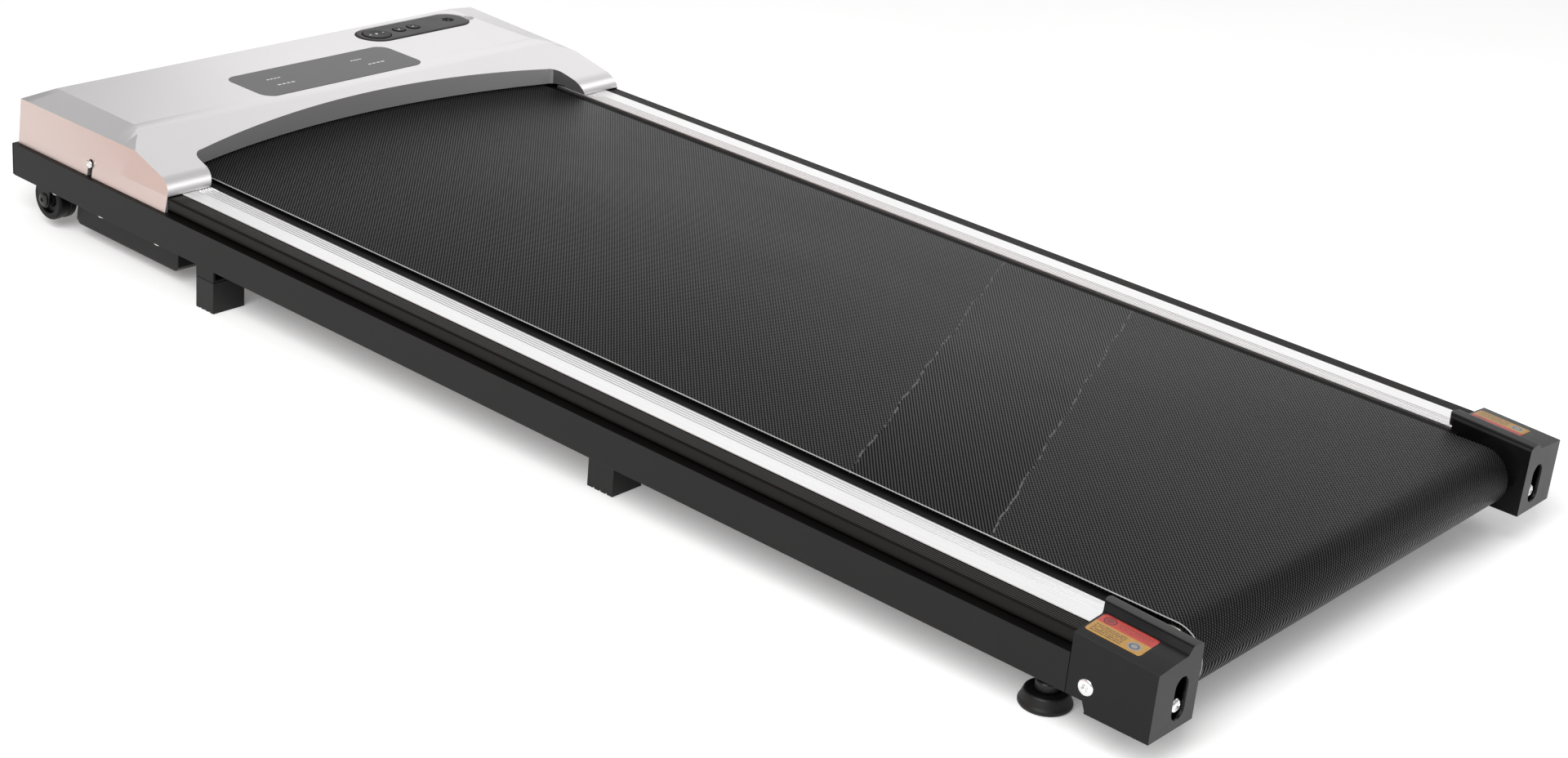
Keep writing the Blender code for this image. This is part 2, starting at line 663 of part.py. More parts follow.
def hood():
    shell = hood_form("hood", 0.0, HOOD_BASE)
    soften(shell, 0.0012, 2, 12)
    cut(shell, hood_form("hollow", HOOD_WALL, HOOD_BASE - 0.02))
    notch_low = (-HOOD_HALF_BASE + HOOD_WALL + 0.0001, REAR + 0.90, 0.04)
    notch_high = (HOOD_HALF_BASE - HOOD_WALL - 0.0001, RAIL_FRONT + 0.004, STRIP_TOP + GAP)
    cut(shell, box("rails", notch_low, notch_high))
    arch_low = (-STRIP_INNER - 0.0080, REAR + 0.99, 0.04)
    arch_high = (STRIP_INNER + 0.0080, ARC_MIDDLE + 0.02, STRIP_TOP + GAP)
    cut(shell, box("arch", arch_low, arch_high))
    cradle = stadium(REMOTE_START - 0.0025, REMOTE_END + 0.0025, REMOTE_Y, REMOTE_RADIUS + 0.0025)
    join(shell, prism("cradle", cradle, "Z", REMOTE_BOTTOM - 0.0023, HOOD_TOP - 0.0010))
    pocket = stadium(REMOTE_START - 0.0005, REMOTE_END + 0.0005, REMOTE_Y, REMOTE_RADIUS + 0.0005)
    cut(shell, prism("pocket", pocket, "Z", REMOTE_BOTTOM - GAP, HOOD_TOP + 0.01))
    seat = rounded((-LENS_HALF - GAP, LENS_REAR - GAP), (LENS_HALF + GAP, LENS_FRONT + GAP), 0.0083)
    cut(shell, prism("seat", seat, "Z", HOOD_TOP - 0.0015, HOOD_TOP + 0.01))
    cut(shell, box("window", (-0.075, LENS_REAR + 0.008, 0.09), (0.075, LENS_FRONT - 0.007, 0.12)))
    scoop_centre = (REMOTE_END + 0.001, REMOTE_Y - 0.004, HOOD_TOP + 0.0065)
    scoop = [(0.0003, -0.0095), (0.0060, -0.0075), (0.0085, -0.0045), (0.0095, 0.0), (0.0003, 0.0)]
    cut(shell, turned("scoop", scoop, "Z", scoop_centre, 16))
    for side in SIDES.values():
        y = REAR + 1.0655
        slot = [(y - 0.003, 0.060), (y + 0.003, 0.060)] + circle((y, 0.0762), 0.003, 6, 0, math.pi)
        cut(shell, prism("screw", slot, "X", side * 0.240, side * 0.270))
    cut(shell, box("power", (0.0980, HOOD_FRONT - 0.01, 0.0712), (0.1845, HOOD_FRONT + 0.01, 0.0918)))
    return finish(shell, (0.80, 0.79, 0.80), 0.32, 0.6)


# ---------------------------------------------------------------- display, remote and power


def display_lens():
    outline = rounded((-LENS_HALF, LENS_REAR), (LENS_HALF, LENS_FRONT), 0.008)
    lens = prism("display_lens", outline, "Z", HOOD_TOP - 0.0012, HOOD_TOP)
    return finish(lens, (0.20, 0.19, 0.20), 0.15)


def display_board():
    board = box("display_board", (-0.080, LENS_REAR + 0.003, 0.0990), (0.080, LENS_FRONT - 0.003, 0.1006))
    join(board, box("digits", (-0.055, LENS_REAR + 0.016, 0.1004), (0.055, LENS_FRONT - 0.016, 0.1042)))
    return finish(board, (0.02, 0.12, 0.05), 0.5)


def remote_outline(offset):
    return stadium(REMOTE_START + offset, REMOTE_END - offset, REMOTE_Y, REMOTE_RADIUS - offset)


def remote_body():
    """A handset with an edge rounded at its top, and wells for its three buttons."""
    middle = (0.5 * (REMOTE_START + REMOTE_END), REMOTE_Y, REMOTE_BOTTOM)
    levels = [(0.0, 0.0010), (0.0010, 0.0), (0.0070, 0.0), (0.0082, 0.0006), (0.0087, 0.0018)]
    rings = [[(x, y, REMOTE_BOTTOM + h) for x, y in remote_outline(o)] for h, o in levels]
    count = len(rings[0])
    verts = [v for ring in rings for v in ring]
    faces = [tuple(range(count)), tuple(range((len(rings) - 1) * count, len(rings) * count))]
    for r in range(len(rings) - 1):
        for i in range(count):
            j = (i + 1) % count
            faces.append((r * count + i, r * count + j, (r + 1) * count + j, (r + 1) * count + i))
    body = mesh_object("remote_body", verts, faces, middle)
    well = REMOTE_TOP - 0.0040
    dial_x = REMOTE_START + REMOTE_RADIUS
    cut(body, rod("well", "Z", (dial_x, REMOTE_Y), DIAL_RADIUS + 0.0004, well, 0.12, 32))
    for x in KEYS.values():
        cut(body, rod("well", "Z", (x, REMOTE_Y), KEY_RADIUS + 0.0004, well, 0.12, 24))
    cut(body, rod("strap", "Z", (REMOTE_END - REMOTE_RADIUS, REMOTE_Y), 0.0030, 0.09, 0.12, 16))
    return finish(body, (0.09, 0.09, 0.095), 0.4)


def remote_key(name, x, radius, segments):
    base = REMOTE_TOP - 0.0020
    profile = [(radius, 0.0), (radius, 0.0018), (radius - 0.0008, 0.0026)]
    key = turned(name, profile, "Z", (x, REMOTE_Y, base), segments)
    return finish(key, (0.02, 0.02, 0.022), 0.35)


def power_inlet():
    """The moulded panel with the mains inlet and the wells for the rocker and reset button."""
    front = HOOD_FRONT + 0.0015
    low = INLET_Z - 0.0120
    high = INLET_Z + 0.0120
    panel = box("power_inlet", (0.0950, HOOD_FRONT + GAP, low), (0.1875, front, high))
    body_low = INLET_Z - 0.0098
    body_high = INLET_Z + 0.0098
    join(panel, box("body", (0.0990, HOOD_FRONT - 0.022, body_low), (0.1838, front - 0.0006, body_high)))
    socket = rounded((INLET_X - 0.0110, INLET_Z - 0.0072), (INLET_X + 0.0110, INLET_Z + 0.0072), 0.003, 3)
    cut(panel, prism("socket", socket, "Y", front - 0.017, front + 0.01))
    for dx, dz in ((-0.006, -0.002), (0.006, -0.002), (0.0, 0.003)):
        x = INLET_X + dx
        z = INLET_Z + dz
        join(panel, box("pin", (x - 0.001, front - 0.018, z - 0.002), (x + 0.001, front - 0.003, z + 0.002)))
    well_low = (ROCKER_X - 0.0080, front - 0.014, body_low + 0.0015)
    well_high = (ROCKER_X + 0.0080, 1, body_high - 0.0015)
    cut(panel, box("well", well_low, well_high))
    cut(panel, rod("well", "Y", (RESET_X, INLET_Z), 0.0050, HOOD_FRONT - 0.018, 1, 20))
    return black_plastic(panel)


def power_rocker():
    """The mains rocker, turning about a pin across the well; its ends are arcs about that pin."""
    y = HOOD_FRONT - 0.0025
    z = INLET_Z
    outline = circle((y, z), 0.0079, 4, math.radians(55), math.radians(100))
    outline += [(y - 0.0045, z + 0.0020), (y - 0.0045, z - 0.0020)]
    outline += circle((y, z), 0.0079, 4, math.radians(260), math.radians(281))
    outline.append((y + 0.0024, z))
    rocker = prism("power_rocker", outline, "X", ROCKER_X - 0.0076, ROCKER_X + 0.0076, (ROCKER_X, y, z))
    return finish(rocker, (0.55, 0.02, 0.02), 0.4)


def reset_button():
    start = HOOD_FRONT - 0.0140
    profile = [(0.0045, 0.0), (0.0045, 0.0165), (0.0038, 0.0172)]
    button = turned("reset_button", profile, "Y", (RESET_X, start, INLET_Z), 20)
    return black_plastic(button)


# ---------------------------------------------------------------- drive


def ribbed_wheel(radius, start, end, count, depth):
    """Radius and distance pairs of a poly-V pulley's rim."""
    profile = [(radius, start)]
    pitch = (end - start) / count
    for i in range(count):
        left = start + i * pitch
        profile.append((radius, left + 0.25 * pitch))
        profile.append((radius - depth, left + 0.5 * pitch))
        profile.append((radius, left + 0.75 * pitch))
    profile.append((radius, end))
    return profile


def driven_pulley():
    """The poly-V pulley on the left end of the front roller, with its hub."""
    half = PULLEY_WIDTH / 2
    hub = -ROLLER_HALF - GAP
    profile = ribbed_wheel(DRIVEN_RADIUS, PULLEY_X - half, PULLEY_X + half, 4, 0.0012)
    profile += [(0.0110, PULLEY_X + half), (0.0110, hub)]
    pulley = turned("driven_pulley", profile, "X", (0, FRONT_ROLLER_Y, ROLLER_HEIGHT), 32, AXLE_RADIUS + GAP)
    return finish(pulley, (0.25, 0.25, 0.26), 0.4, 0.8)


def motor_rotor():
    """The motor's shaft with its drive pulley at one end and its cooling fan at the other."""
    half = PULLEY_WIDTH / 2
    profile = [(0.0040, PULLEY_X - half - 0.002), (0.0040, PULLEY_X - half)]
    profile += ribbed_wheel(DRIVER_RADIUS, PULLEY_X - half, PULLEY_X + half, 4, 0.0012)
    profile += [(0.0040, PULLEY_X + half), (0.0040, MOTOR_END + 0.004), (0.0250, MOTOR_END + 0.004)]
    profile += [(0.0260, MOTOR_END + 0.005), (0.0260, MOTOR_END + 0.014), (0.0060, MOTOR_END + 0.016)]
    rotor = turned("motor_rotor", profile, "X", (0, MOTOR_Y, MOTOR_Z), 28)
    return bright_steel(rotor)


def motor_body():
    profile = [(0.0270, MOTOR_START), (MOTOR_RADIUS, MOTOR_START + 0.003), (MOTOR_RADIUS, MOTOR_END - 0.003)]
    profile.append((0.0270, MOTOR_END))
    motor = turned("motor_body", profile, "X", (0, MOTOR_Y, MOTOR_Z), 36, 0.0046)
    return finish(motor, (0.06, 0.06, 0.065), 0.4, 0.7)


def motor_mount():
    """A bent plate: foot on the tray's plate, upright across the motor's drive end."""
    low = FRAME_BOTTOM
    foot_low = (MOTOR_START - 0.0033, MOTOR_Y - 0.027, low)
    foot_high = (MOTOR_END - 0.005, MOTOR_Y + 0.027, low + 0.0024)
    foot = box("motor_mount", foot_low, foot_high)
    upright_low = (MOTOR_START - 0.0033, MOTOR_Y - 0.027, low)
    upright_high = (MOTOR_START - 0.0003, MOTOR_Y + 0.027, MOTOR_Z + 0.022)
    join(foot, box("upright", upright_low, upright_high))
    cut(foot, rod("bore", "X", (MOTOR_Y, MOTOR_Z), 0.012, MOTOR_START - 0.01, MOTOR_START + 0.01))
    return bright_steel(foot)


def drive_belt():
    motor = (MOTOR_Y, MOTOR_Z)
    axis = (FRONT_ROLLER_Y, ROLLER_HEIGHT)
    low = GAP
    high = GAP + DRIVE_BELT_THICKNESS
    inner = loop_outline(motor, DRIVER_RADIUS + low, axis, DRIVEN_RADIUS + low, 20)
    outer = loop_outline(motor, DRIVER_RADIUS + high, axis, DRIVEN_RADIUS + high, 20)
    half = PULLEY_WIDTH / 2 - 0.001
    return rubber(loop_belt("drive_belt", outer, inner, PULLEY_X - half, PULLEY_X + half))


def control_board():
    """The motor controller: a circuit board with a finned heat sink along it."""
    low = FRAME_BOTTOM
    outline = [(0.020, low), (0.200, low), (0.200, low + 0.003), (0.100, low + 0.003)]
    for i in range(6):
        x = 0.095 - 0.011 * i
        outline += [(x, low + 0.003), (x, low + 0.024), (x - 0.004, low + 0.024), (x - 0.004, low + 0.003)]
    outline += [(0.020, low + 0.003)]
    board = prism("control_board", outline, "Y", MOTOR_Y - 0.025, MOTOR_Y + 0.025)
    return finish(board, (0.35, 0.36, 0.37), 0.5, 0.6)


# ---------------------------------------------------------------- feet and wheels


def rubber_block(name, side, span, low_y, high_y, top):
    near, far = span
    outline = [(near, low_y + 0.001), (near + 0.001, low_y), (far - 0.001, low_y), (far, low_y + 0.001)]
    outline += [(far, high_y - 0.001), (far - 0.001, high_y), (near + 0.001, high_y), (near, high_y - 0.001)]
    return rubber(prism(name, [(side * x, y) for x, y in outline], "Z", 0.0, top))


def foot_pad(name, side):
    profile = [(FOOT_RADIUS - 0.001, 0.0), (FOOT_RADIUS, 0.001), (FOOT_RADIUS, 0.0028), (0.0150, 0.0104)]
    profile += [(0.0140, FOOT_HEIGHT)]
    return rubber(turned(name, profile, "Z", (side * FOOT_X, FOOT_Y, 0.0), 32))


def foot_stud(name, side):
    profile = [(STUD_RADIUS, 0.0), (STUD_RADIUS, 0.0480), (STUD_RADIUS - 0.0007, 0.0487)]
    origin = (side * FOOT_X, FOOT_Y, FOOT_HEIGHT + GAP)
    return bright_steel(turned(name, profile, "Z", origin, 20))


def transport_wheel(name, side):
    outer = side * 0.2592
    inner = side * 0.2412
    low, high = sorted((outer, inner))
    profile = [(0.0150, low), (WHEEL_RADIUS, low + 0.0018), (WHEEL_RADIUS, high - 0.0018), (0.0150, high)]
    wheel = turned(name, profile, "X", (0, WHEEL_Y, WHEEL_Z), 32, 0.0043)
    return black_plastic(wheel)


def wheel_bolt(name, side):
    head = side * 0.2645
    face = side * 0.2628
    tip = side * 0.2377
    nut = side * 0.2407
    profile = [(0.0055, head), (0.0055, face), (0.0040, face), (0.0040, nut), (0.0065, nut), (0.0065, tip)]
    if side < 0:
        bolt = turned(name, profile, "X", (0, WHEEL_Y, WHEEL_Z), 16)
    else:
        bolt = turned(name, profile[::-1], "X", (0, WHEEL_Y, WHEEL_Z), 16)
    return black_steel(bolt)


def build_frame():
    for label, side in SIDES.items():
        side_frame("side_frame_" + label, side)
        rear_bracket("rear_bracket_" + label, side)
        front_bracket("front_bracket_" + label, side)
        side_rail("side_rail_" + label, side)
        tread_strip("tread_strip_" + label, side)
        end_cap("end_cap_" + label, side)
    front_crossmember()
    for label, y in CROSSBARS.items():
        crossbar("crossbar_" + label, y)
        deck_cushion("deck_cushion_" + label, y)
    belly_pan()
    deck_board()


def build_running_gear():
    roller("front_roller", FRONT_ROLLER_Y)
    roller("rear_roller", REAR_ROLLER_Y)
    axle("front_axle", FRONT_ROLLER_Y, 0.2595, False)
    axle("rear_axle", REAR_ROLLER_Y, 0.2598, True)
    for label, side in SIDES.items():
        bearing("front_bearing_" + label, side, FRONT_ROLLER_Y)
        bearing("rear_bearing_" + label, side, REAR_ROLLER_Y)
        tension_bolt("tension_bolt_" + label, side)
    walking_belt()


def build_drive():
    driven_pulley()
    motor_body()
    motor_mount()
    motor_rotor()
    drive_belt()
    control_board()


def build_controls():
    hood()
    display_lens()
    display_board()
    remote_body()
    remote_key("remote_dial", REMOTE_START + REMOTE_RADIUS, DIAL_RADIUS, 32)
    for label, x in KEYS.items():
        remote_key("remote_" + label, x, KEY_RADIUS, 24)
    power_inlet()
    power_rocker()
    reset_button()


def build_feet():
    front = CROSSBARS["front"]
    middle = CROSSBARS["middle"]
    for label, side in SIDES.items():
        span = (0.2314, HALF_WIDTH)
        rubber_block("front_block_" + label, side, span, front - 0.011, front + 0.011, 0.0267 - GAP)
        span = (0.2112, 0.2412)
        top = FRAME_BOTTOM - GAP
        rubber_block("middle_block_" + label, side, span, middle - 0.0127, middle + 0.0127, top)
        foot_pad("foot_pad_" + label, side)
        foot_stud("foot_stud_" + label, side)
        transport_wheel("transport_wheel_" + label, side)
        wheel_bolt("wheel_bolt_" + label, side)


def main():
    clear_scene()
    build_frame()
    build_running_gear()
    build_drive()
    build_controls()
    build_feet()


main()
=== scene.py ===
"""Looks of the under-desk treadmill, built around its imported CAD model. Metres, +Y towards the motor hood."""

import json
import math

import bmesh
import bpy
from mathutils import Matrix, Vector


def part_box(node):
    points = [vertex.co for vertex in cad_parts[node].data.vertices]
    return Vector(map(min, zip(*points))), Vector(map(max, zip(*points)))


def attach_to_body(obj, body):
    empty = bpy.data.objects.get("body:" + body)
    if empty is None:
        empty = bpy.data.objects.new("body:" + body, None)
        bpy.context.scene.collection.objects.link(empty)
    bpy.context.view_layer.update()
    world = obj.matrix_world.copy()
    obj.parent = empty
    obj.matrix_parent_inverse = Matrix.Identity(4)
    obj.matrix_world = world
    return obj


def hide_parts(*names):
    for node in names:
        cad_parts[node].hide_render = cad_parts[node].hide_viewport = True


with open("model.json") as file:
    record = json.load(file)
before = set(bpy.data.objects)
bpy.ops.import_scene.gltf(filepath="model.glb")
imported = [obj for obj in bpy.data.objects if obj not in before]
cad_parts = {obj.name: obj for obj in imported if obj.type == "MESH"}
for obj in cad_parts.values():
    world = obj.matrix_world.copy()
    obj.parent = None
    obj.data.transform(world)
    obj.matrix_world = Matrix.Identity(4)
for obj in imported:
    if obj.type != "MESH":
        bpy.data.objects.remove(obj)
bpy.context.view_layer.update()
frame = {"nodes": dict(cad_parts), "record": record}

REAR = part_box("end_cap_left")[0].y
HALF_WIDTH = 0.2625
FLOOR_TOP = -0.0002
SIDES = {"left": -1, "right": 1}

# Hood; each row of its sides gives (distance from the middle plane, height) from the base up
HOOD_LOW, HOOD_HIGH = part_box("hood")
HOOD_FRONT = HOOD_HIGH.y
HOOD_REAR = HOOD_LOW.y
HOOD_BASE = HOOD_LOW.z
HOOD_TOP = HOOD_HIGH.z
HOOD_HALF = HOOD_HIGH.x
HOOD_LIP = HOOD_FRONT - 0.0045
HOOD_CREASE = REAR + 1.0435
HOOD_LEG = HOOD_REAR + 0.0145
HOOD_SHOULDER = 0.1030
HOOD_BEHIND = REAR + 0.90
HOOD_BEYOND = REAR + 1.3
HOOD_SIDE_START = REAR + 1.0175
HOOD_SIDES = (
    (HOOD_SIDE_START, ((0.2588, 0.0), (0.2564, 0.0778), (0.2498, 0.1003), (0.2247, 0.1075))),
    (REAR + 1.1660, ((0.2584, 0.0), (0.2572, 0.0778), (0.2551, 0.1030), (0.2228, 0.1075))),
)
HOOD_SIDE_STEP = 0.0135
HOOD_SCREW_Y = REAR + 1.0655
HOOD_SLOPE = 0.25
HOOD_WALL = 0.0025
LENS_CORNER = 0.012
LEG_START = math.radians(14)
CREASE_BLEND = 0.016
ARC_HEIGHT = 0.078
ARC_MIDDLE = REAR + 1.0335
ARC_LEAN = 0.457
ARC_CURVE = 0.70
ARC_CORNER = 0.010
LEG_LEAN = 0.385
STRIP_INNER = 0.2135
STRIP_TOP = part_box("tread_strip_left")[1].z

# Belt
BELT_LOW, BELT_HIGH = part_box("walking_belt")
BELT_HALF = BELT_HIGH.x
BELT_CROWN = 0.0008
BELT_TOP = BELT_HIGH.z + BELT_CROWN
BELT_RADIUS = 0.5 * (BELT_HIGH.z - BELT_LOW.z)
BELT_THICKNESS = 0.0014
ROLLER_Z = 0.5 * (BELT_HIGH.z + BELT_LOW.z)
BELT_REAR_Y = BELT_LOW.y + BELT_RADIUS
BELT_FRONT_Y = BELT_HIGH.y - BELT_RADIUS
WEAVE = 475.5
WEAVE_ANGLE = math.radians(45.4)
JOINT_TURN = math.radians(2.4)
SEAMS = ((0.3783, 0.4296), (0.2560, 0.4083))
LOWER_WRAP = BELT_REAR_Y - REAR - 0.50 * math.pi * BELT_RADIUS

# End caps; the curve gives (distance from the middle plane, rise) across a cap
CAP_LENGTH = 0.063
CAP_NOSE = 0.0685
CAP_INNER = 0.2146
CAP_BOTTOM = 0.028
CAP_TOP_REAR = 0.0758
CAP_TOP_FRONT = 0.0787
CAP_CURVE = (
    (0.2625, 0.0), (0.2575, 0.0005), (0.2520, 0.0010), (0.2474, 0.0014), (0.2420, 0.0018),
    (0.2370, 0.0021), (0.2330, 0.0023), (0.2320, 0.0024), (0.2314, 0.0026), (0.2309, 0.0029),
    (0.2304, 0.0034), (0.2280, 0.0062), (0.2276, 0.0066), (0.2271, 0.0070), (0.2265, 0.0072),
    (0.2258, 0.0073), (0.2230, 0.0072), (0.2192, 0.0070),
)
CAP_WALL = 0.0022
COVE_START = 0.2345
COVE_FOOT = 0.2318
SLOT_X = 0.2325
SLOT_MIDDLE = 0.2336
SLOT_RADIUS = 0.0066
SLOT_LOW, SLOT_HIGH = 0.0415, 0.0575
NOSE_TURN = 0.2205


# ---------------------------------------------------------------- mesh helpers


def make_object(name, verts, faces, origin=(0, 0, 0)):
    mesh = bpy.data.meshes.new(name)
    centre = Vector(origin)
    mesh.from_pydata([Vector(v) - centre for v in verts], [], faces)
    bm = bmesh.new()
    bm.from_mesh(mesh)
    bmesh.ops.recalc_face_normals(bm, faces=bm.faces)
    bm.to_mesh(mesh)
    bm.free()
    mesh.shade_smooth()
    obj = bpy.data.objects.new(name, mesh)
    obj.location = centre
    bpy.context.scene.collection.objects.link(obj)
    return obj


def loft(name, rings, closed=False, caps=True, origin=(0, 0, 0)):
    """A body through a row of rings that have the same number of points."""
    count = len(rings[0])
    verts = [v for ring in rings for v in ring]
    faces = []
    steps = len(rings) if closed else len(rings) - 1
    for r in range(steps):
        a = r * count
        b = ((r + 1) % len(rings)) * count
        for i in range(count):
            j = (i + 1) % count
            faces.append((a + i, a + j, b + j, b + i))
    if caps and not closed:
        faces.append(tuple(range(count)))
        faces.append(tuple(range((len(rings) - 1) * count, len(rings) * count)))
    return make_object(name, verts, faces, origin)


def swept(axis, u, v, w):
    return {"X": (w, u, v), "Y": (u, w, v), "Z": (u, v, w)}[axis]


def prism(name, outline, axis, start, end, origin=(0, 0, 0)):
    """An outline in (y, z), (x, z) or (x, y) swept along X, Y or Z."""
    rings = [[swept(axis, u, v, w) for u, v in outline] for w in (start, end)]
    return loft(name, rings, origin=origin)


def box(name, low, high):
    outline = [(low[0], low[1]), (high[0], low[1]), (high[0], high[1]), (low[0], high[1])]
    return prism(name, outline, "Z", low[2], high[2])


def circle(centre, radius, segments, start=0.0, end=2 * math.pi):
    closed = abs(end - start - 2 * math.pi) < 1e-9
    steps = segments if closed else segments + 1
    angles = [start + (end - start) * i / segments for i in range(steps)]
    return [(centre[0] + radius * math.cos(a), centre[1] + radius * math.sin(a)) for a in angles]


def turned(name, profile, axis, origin, segments=48, ring=False):
    """A round body from (radius, distance along the axis) pairs; a ring's profile closes on itself."""
    rings = []
    for radius, along in profile:
        points = circle((0, 0), radius, segments)
        rings.append([Vector(swept(axis, u, v, along)) + Vector(origin) for u, v in points])
    return loft(name, rings, closed=ring, origin=origin)


def quarter(steps, first=0):
    """(sine, 1 - cosine) in even steps over a quarter turn."""
    turns = [math.radians(90 * i / steps) for i in range(first, steps + 1)]
    return [(math.sin(turn), 1 - math.cos(turn)) for turn in turns]


def apply_all(obj):
    graph = bpy.context.evaluated_depsgraph_get()
    mesh = bpy.data.meshes.new_from_object(obj.evaluated_get(graph))
    obj.modifiers.clear()
    obj.data = mesh
    return obj


def combine(base, other, operation="DIFFERENCE"):
    modifier = base.modifiers.new("Boolean", "BOOLEAN")
    modifier.solver = "MANIFOLD"
    modifier.operation = operation
    modifier.object = other
    apply_all(base)
    bpy.data.objects.remove(other, do_unlink=True)
    return base


def merge_close(obj, distance=2e-5):
    bm = bmesh.new()
    bm.from_mesh(obj.data)
    bmesh.ops.remove_doubles(bm, verts=bm.verts, dist=distance)
    bmesh.ops.dissolve_limit(bm, angle_limit=math.radians(0.4), verts=bm.verts, edges=bm.edges)
    bmesh.ops.recalc_face_normals(bm, faces=bm.faces)
    bm.to_mesh(obj.data)
    bm.free()
    return obj


def bevel_edges(obj, low, high, width, segments):
    """Rounds the convex edges whose faces meet at an angle between two limits, in degrees."""
    bm = bmesh.new()
    bm.from_mesh(obj.data)
    edges = [e for e in bm.edges if e.is_manifold and low < math.degrees(e.calc_face_angle_signed()) < high]
    edges = [e for e in edges if e.calc_length() > 0.004]
    bmesh.ops.bevel(
        bm, geom=edges, offset=width, offset_type="OFFSET", segments=segments, profile=0.5,
        affect="EDGES", clamp_overlap=True,
    )
    bm.to_mesh(obj.data)
    bm.free()
    return obj


def add_bevel(obj, width, segments, angle=30):
    bevel = obj.modifiers.new("Bevel", "BEVEL")
    bevel.width = width
    bevel.segments = segments
    bevel.limit_method = "ANGLE"
    bevel.angle_limit = math.radians(angle)
    for polygon in obj.data.polygons:
        polygon.use_smooth = True


def weigh_normals(obj, keep_sharp):
    """Flat faces stay flat beside rounded edges."""
    weighted = obj.modifiers.new("Weighted", "WEIGHTED_NORMAL")
    weighted.mode = "FACE_AREA"
    weighted.keep_sharp = keep_sharp


def round_edges(obj, width, segments=3, angle=30):
    add_bevel(obj, width, segments, angle)
    weigh_normals(obj, False)


def smooth_by_angle(obj, angle):
    obj.data.shade_smooth()
    obj.data.set_sharp_from_angle(angle=math.radians(angle))
    weigh_normals(obj, True)


def stadium(start, end, y, radius, segments=24):
    points = circle((end - radius, y), radius, segments, -math.pi / 2, math.pi / 2)
    return points + circle((start + radius, y), radius, segments, math.pi / 2, 1.5 * math.pi)


def rounded(low, high, radius, segments=8):
    right_angle = math.pi / 2
    left, right = low[0] + radius, high[0] - radius
    lower, upper = low[1] + radius, high[1] - radius
    points = []
    for i, centre in enumerate(((right, upper), (left, upper), (left, lower), (right, lower))):
        points += circle(centre, radius, segments, i * right_angle, (i + 1) * right_angle)
    return points


# ---------------------------------------------------------------- materials


class Shader:
    """A small helper that wires a material's nodes."""

    def __init__(self, name):
        self.material = bpy.data.materials.new(name)
        self.material.use_nodes = True
        self.tree = self.material.node_tree
        self.bsdf = self.tree.nodes["Principled BSDF"]

    def node(self, kind, **inputs):
        made = self.tree.nodes.new(kind)
        for key, value in inputs.items():
            self.feed(made.inputs[key.replace("_", " ")], value)
        return made

    def feed(self, socket, value):
        if isinstance(value, bpy.types.NodeSocket):
            self.tree.links.new(value, socket)
        else:
            socket.default_value = value

    def math(self, operation, a, b=0.0):
        made = self.tree.nodes.new("ShaderNodeMath")
        made.operation = operation
        self.feed(made.inputs[0], a)
        self.feed(made.inputs[1], b)
        return made.outputs[0]

    def times(self, a, b):
        return self.math("MULTIPLY", a, b)

    def plus(self, a, b):
        return self.math("ADD", a, b)

    def minus(self, a, b):
        return self.math("SUBTRACT", a, b)

    def above(self, a, b):
        return self.math("GREATER_THAN", a, b)

    def below(self, a, b):
        return self.math("LESS_THAN", a, b)

    def within(self, value, limit):
        """1 where a value lies nearer to 0 than the limit."""
        return self.below(self.math("ABSOLUTE", value), limit)

    def stretched(self, vector, stretch):
        mapping = self.node("ShaderNodeMapping", Vector=vector)
        mapping.inputs["Scale"].default_value = stretch
        return mapping.outputs["Vector"]

    def place(self, stretch=(1, 1, 1)):
        """Object coordinates, stretched."""
        return self.stretched(self.node("ShaderNodeTexCoord").outputs["Object"], stretch)

    def layer(self, name):
        """The coordinates of a UV layer: the pair, then each one on its own."""
        uv = self.node("ShaderNodeUVMap")
        uv.uv_map = name
        split = self.node("ShaderNodeSeparateXYZ", Vector=uv.outputs["UV"])
        return uv.outputs["UV"], split.outputs[0], split.outputs[1]

    def noise(self, scale, detail=3.0, rough=0.5, vector=None):
        made = self.node("ShaderNodeTexNoise", Scale=scale, Detail=detail, Roughness=rough)
        self.feed(made.inputs["Vector"], self.place() if vector is None else vector)
        return made.outputs["Fac"]

    def ramp(self, value, *stops):
        made = self.node("ShaderNodeValToRGB", Fac=value)
        elements = made.color_ramp.elements
        elements[0].position, elements[0].color = stops[0][0], (*stops[0][1], 1)
        elements[1].position, elements[1].color = stops[-1][0], (*stops[-1][1], 1)
        for position, colour in stops[1:-1]:
            element = elements.new(position)
            element.color = (*colour, 1)
        return made.outputs["Color"]

    def span(self, value, low, high, out_low, out_high):
        made = self.node("ShaderNodeMapRange", Value=value)
        for key, number in (("From Min", low), ("From Max", high), ("To Min", out_low), ("To Max", out_high)):
            made.inputs[key].default_value = number
        return made.outputs["Result"]

    def mix(self, factor, a, b):
        made = self.tree.nodes.new("ShaderNodeMix")
        made.data_type = "RGBA"
        self.feed(made.inputs["Factor"], factor)
        for index, colour in ((6, a), (7, b)):
            linked = isinstance(colour, bpy.types.NodeSocket)
            self.feed(made.inputs[index], colour if linked else (*colour, 1))
        return made.outputs[2]

    def bump(self, height, distance, strength=1.0, normal=None):
        made = self.node("ShaderNodeBump", Height=height, Distance=distance, Strength=strength)
        if normal is not None:
            self.feed(made.inputs["Normal"], normal)
        return made.outputs["Normal"]

    def set(self, **inputs):
        for key, value in inputs.items():
            self.feed(self.bsdf.inputs[key.replace("_", " ")], value)
        return self.material


def tinted(colour, amount):
    return [tuple(c * (1 - amount) for c in colour), tuple(min(1.0, c * (1 + amount)) for c in colour)]


